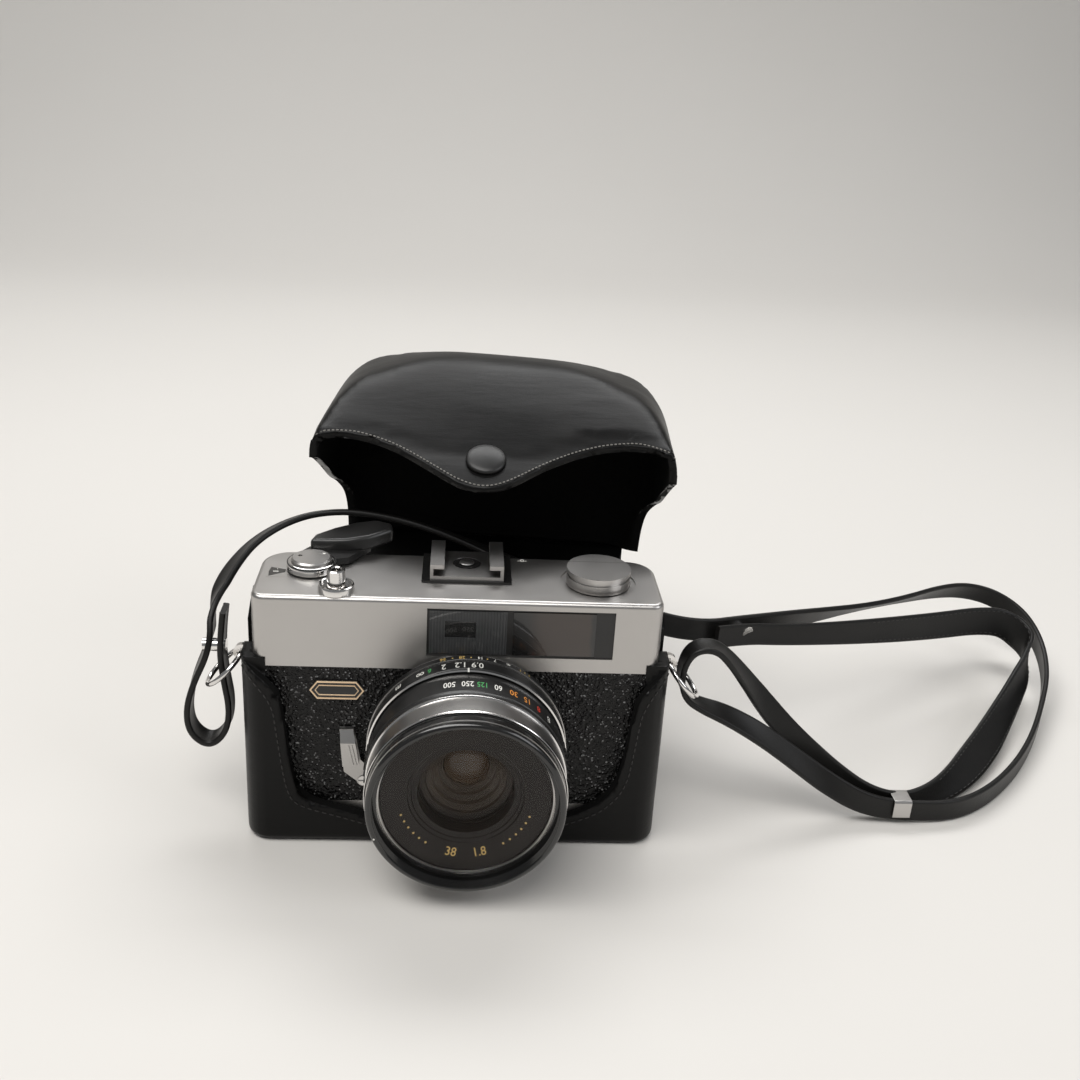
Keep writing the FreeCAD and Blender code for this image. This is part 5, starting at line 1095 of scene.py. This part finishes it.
def diced(source, spacing):
    """A copy of a mesh, cut by planes so that no face is longer than spacing millimetres."""
    work = bmesh.new()
    work.from_mesh(source)
    bmesh.ops.remove_doubles(work, verts=work.verts, dist=1e-6)
    for axis in range(3):
        low = min(vertex.co[axis] for vertex in work.verts)
        high = max(vertex.co[axis] for vertex in work.verts)
        count = int((high - low) / (spacing * MM)) + 1
        normal = Vector([float(k == axis) for k in range(3)])
        for k in range(1, count):
            everything = work.verts[:] + work.edges[:] + work.faces[:]
            spot = normal * (low + (high - low) * k / count)
            bmesh.ops.bisect_plane(work, geom=everything, dist=2e-6, plane_co=spot, plane_no=normal)
    return work


def clamped(share):
    return min(max(share, 0.0), 1.0)


def off_line(a, b, outline):
    """How far the flat point (a, b) lies from a line of straight runs."""
    spot, nearest = Vector((a, b)), 1e9
    for first, second in zip(outline, outline[1:]):
        start, run = Vector(first), Vector(second) - Vector(first)
        share = clamped((spot - start).dot(run) / run.length_squared)
        nearest = min(nearest, (spot - start - run * share).length)
    return nearest


def hood_rim(place):
    """True on the flap's wave, on the side cuts and on the lower edge at the back."""
    local = from_hood(place)
    on_side = abs(local.x) > 40 and off_line(local.y, local.z, GUSSET) < NEAR_CUT
    return abs(local.z) < NEAR_CUT or on_side or off_line(local.x, local.y, WAVE) < NEAR_CUT


def anywhere(place):
    return True


def above_base(place):
    return place.z > 4.5 * MM


def cut_edges(work, is_rim):
    return [edge for edge in work.edges
            if len(edge.link_faces) == 2 and edge.calc_face_angle(0.0) > CUT_ANGLE
            and all(is_rim(vertex.co) for vertex in edge.verts)]


def even_out(edges, rounds=24):
    """Round the corners of the cut edges, moving their points along the cut only."""
    neighbours = {}
    for edge in edges:
        first, second = edge.verts
        neighbours.setdefault(first, []).append(second)
        neighbours.setdefault(second, []).append(first)
    pairs = [(vertex, near) for vertex, near in neighbours.items() if len(near) == 2]
    for step in range(rounds):
        moved = [vertex.co * 0.5 + (near[0].co + near[1].co) * 0.25 for vertex, near in pairs]
        for (vertex, near), place in zip(pairs, moved):
            vertex.co = place


def rim_distances(work, edges):
    """For every vertex, how many millimetres it lies from the nearest of these edges."""
    rim = {vertex for edge in edges for vertex in edge.verts}
    tree = KDTree(len(rim))
    for index, vertex in enumerate(rim):
        tree.insert(vertex.co, index)
    tree.balance()
    return [tree.find(vertex.co)[2] / MM for vertex in work.verts]


def leather_skin(node, name, spacing, rounds, waves, material, body, held=anywhere, evened=None):
    """held says which cut edges stay in place; evened says which lose the corners of their line."""
    work = diced(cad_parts[node].data, spacing)
    rims = cut_edges(work, held)
    if evened:
        even_out(cut_edges(work, evened))
    free = [clamped((distance - HELD) / SOFT) for distance in rim_distances(work, rims)]
    mesh = bpy.data.meshes.new(name)
    work.to_mesh(mesh)
    work.free()
    skin = added(name, mesh)
    group = skin.vertex_groups.new(name="free")
    for index, weight in enumerate(free):
        group.add([index], weight, "REPLACE")
    soften = skin.modifiers.new("soften", "SMOOTH")
    soften.factor = 0.5
    soften.iterations = rounds
    soften.vertex_group = "free"
    mesh = frozen(skin)
    discard(skin)
    mesh.update()
    places = [vertex.co.copy() for vertex in mesh.vertices]
    normals = [vertex.normal.copy() for vertex in mesh.vertices]
    for vertex, place, normal, weight in zip(mesh.vertices, places, normals, free):
        vertex.co = place + waves(place, normal) * (weight * MM)
    mesh.update()
    piece = new_piece(name, mesh, material, body, 50)
    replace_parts(piece, node)
    print(name, len(mesh.polygons), "faces")
    return piece


def hood_waves(place, normal):
    """Slow waves, fine creases on top, and a crown that stuffs the flat of the flap a little."""
    slow = noise.noise(place * 30.0) * 0.3
    crease = abs(noise.noise(Vector((place.x * 18, place.y * 90, place.z * 90)))) * 0.16
    local = from_hood(place)
    share = clamped((local.z - 22) / 25)
    crown = share * max(0.0, 1 - (local.x / 54) ** 2) * max(0.0, 1 - ((local.y + 30) / 29) ** 2)
    return normal * (slow - crease * max(0.0, normal.z)) + HOOD_TURN @ Vector((0, 0, 2.4 * crown))


def case_waves(place, normal):
    return normal * (noise.noise(place * 30.0) * 0.18)


hood = leather_skin("hood_shell", "hood_skin", 1.7, 70, hood_waves, hood_leather, "hood", hood_rim, hood_rim)
half_case = leather_skin("case_shell", "case_skin", 2.0, 8, case_waves, half_case_leather, "camera",
                         anywhere, above_base)
leather_skin("hood_neck", "neck_skin", 3.0, 2, case_waves, hood_leather, "hood")


def line_inside(piece, material, centre):
    """Faces that look towards the inside take a second finish."""
    piece.data.materials.append(material)
    for face in piece.data.polygons:
        inward = Vector(centre) - face.center
        if face.normal.dot(inward.normalized()) > 0.25:
            face.material_index = 1


line_inside(hood, lining, (0.012, 0.045, 0.075))
line_inside(half_case, lining, (0.0, 0.0, 0.045))

# %% [markdown]
# ## Stitches
# Seams run just inside the flap's front edge, the side edges of the half case and both edges of the strap's
# shoulder. On the case, a line is drawn flat beside the edge and rays carry it down on the leather. Short
# capsules of thread follow each line.


# %% Seams
def seam_on(piece, points, toward, lift=0.1):
    """The points where rays from points, going toward, meet the leather."""
    tree = BVHTree.FromPolygons([vertex.co for vertex in piece.data.vertices],
                                [tuple(face.vertices) for face in piece.data.polygons])
    line = []
    for point in points:
        hit, normal, index, distance = tree.ray_cast(point, toward)
        if hit is not None:
            line.append(hit + normal * (lift * MM))
    return line


def beside(outline, inset):
    """A smooth flat line that keeps inset millimetres to the left of an outline."""
    line = nurbs_points([in_space(a, b, 0) for a, b in outline])
    smooth = [(point.x / MM, point.y / MM) for point in line]
    moved = []
    for index, (a, b) in enumerate(smooth):
        before, after = smooth[max(index - 1, 0)], smooth[min(index + 1, len(smooth) - 1)]
        run = Vector((after[0] - before[0], after[1] - before[1])).normalized()
        moved.append((a - run.y * inset, b + run.x * inset))
    return moved


HOOD_INSET, CASE_INSET = 0.85, 2.2
front_line = [in_hood(x, y, 90) for x, y in beside(WAVE, HOOD_INSET)]
front_seam = seam_on(hood, front_line, HOOD_TURN @ -Z, 0.04)
SNAP_TURN = HOOD_TURN @ Matrix.Rotation(math.radians(24.4), 3, "X")
SNAP = [(0.02, 0), (5.75, 0), (5.9, 0.25), (5.9, 0.6), (5.75, 0.95), (5.3, 1.25), (4.2, 1.55), (2.6, 1.8),
        (1.2, 1.92), (0.02, 1.95)]
snap = revolved(SNAP, in_hood(-2.2, -61.0, 48.25), SNAP_TURN @ Z, 72)
snap = new_piece("snap_dome", snap, snap_enamel, "hood", 40)
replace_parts(snap, "hood_snap_cap")
sew("hood_seam", [front_seam], "hood", thread, 0.85, 0.21, 1.25)
LEFT_EDGE = [(-57, 56.8), (-48.5, 49.5), (-47, 34), (-44.9, 17), (-42, 14), (-29, 10.5), (-13.8, 5)]
RIGHT_EDGE = [(57, 56.8), (50.1, 49.5), (48.6, 34), (47.3, 21), (42, 14), (35, 10.5), (20.2, 5)]
case_seams = [seam_on(half_case, [in_space(x, -60, z) for x, z in beside(edge, inset)], Y)
              for edge, inset in ((LEFT_EDGE, -CASE_INSET), (RIGHT_EDGE, CASE_INSET))]
sew("case_seams", case_seams, "camera", dark_thread, 1.4, 0.2, 2.1)
SHOULDER_WIDTH, STRAP_INSET = 8.6 * MM, 1.1 * MM
strap_seams = []
for side, face in ((-1, -1), (-1, 1), (1, -1), (1, 1)):
    strap_seams.append([
        middle + across * (side * (wide / 2 - STRAP_INSET)) + out * (face * STRAP_THICK * MM * 0.46)
        for middle, across, out, wide in strap_frames if wide > SHOULDER_WIDTH])
sew("strap_seams", strap_seams, "camera", dark_thread, 1.5, 0.18, 2.4)
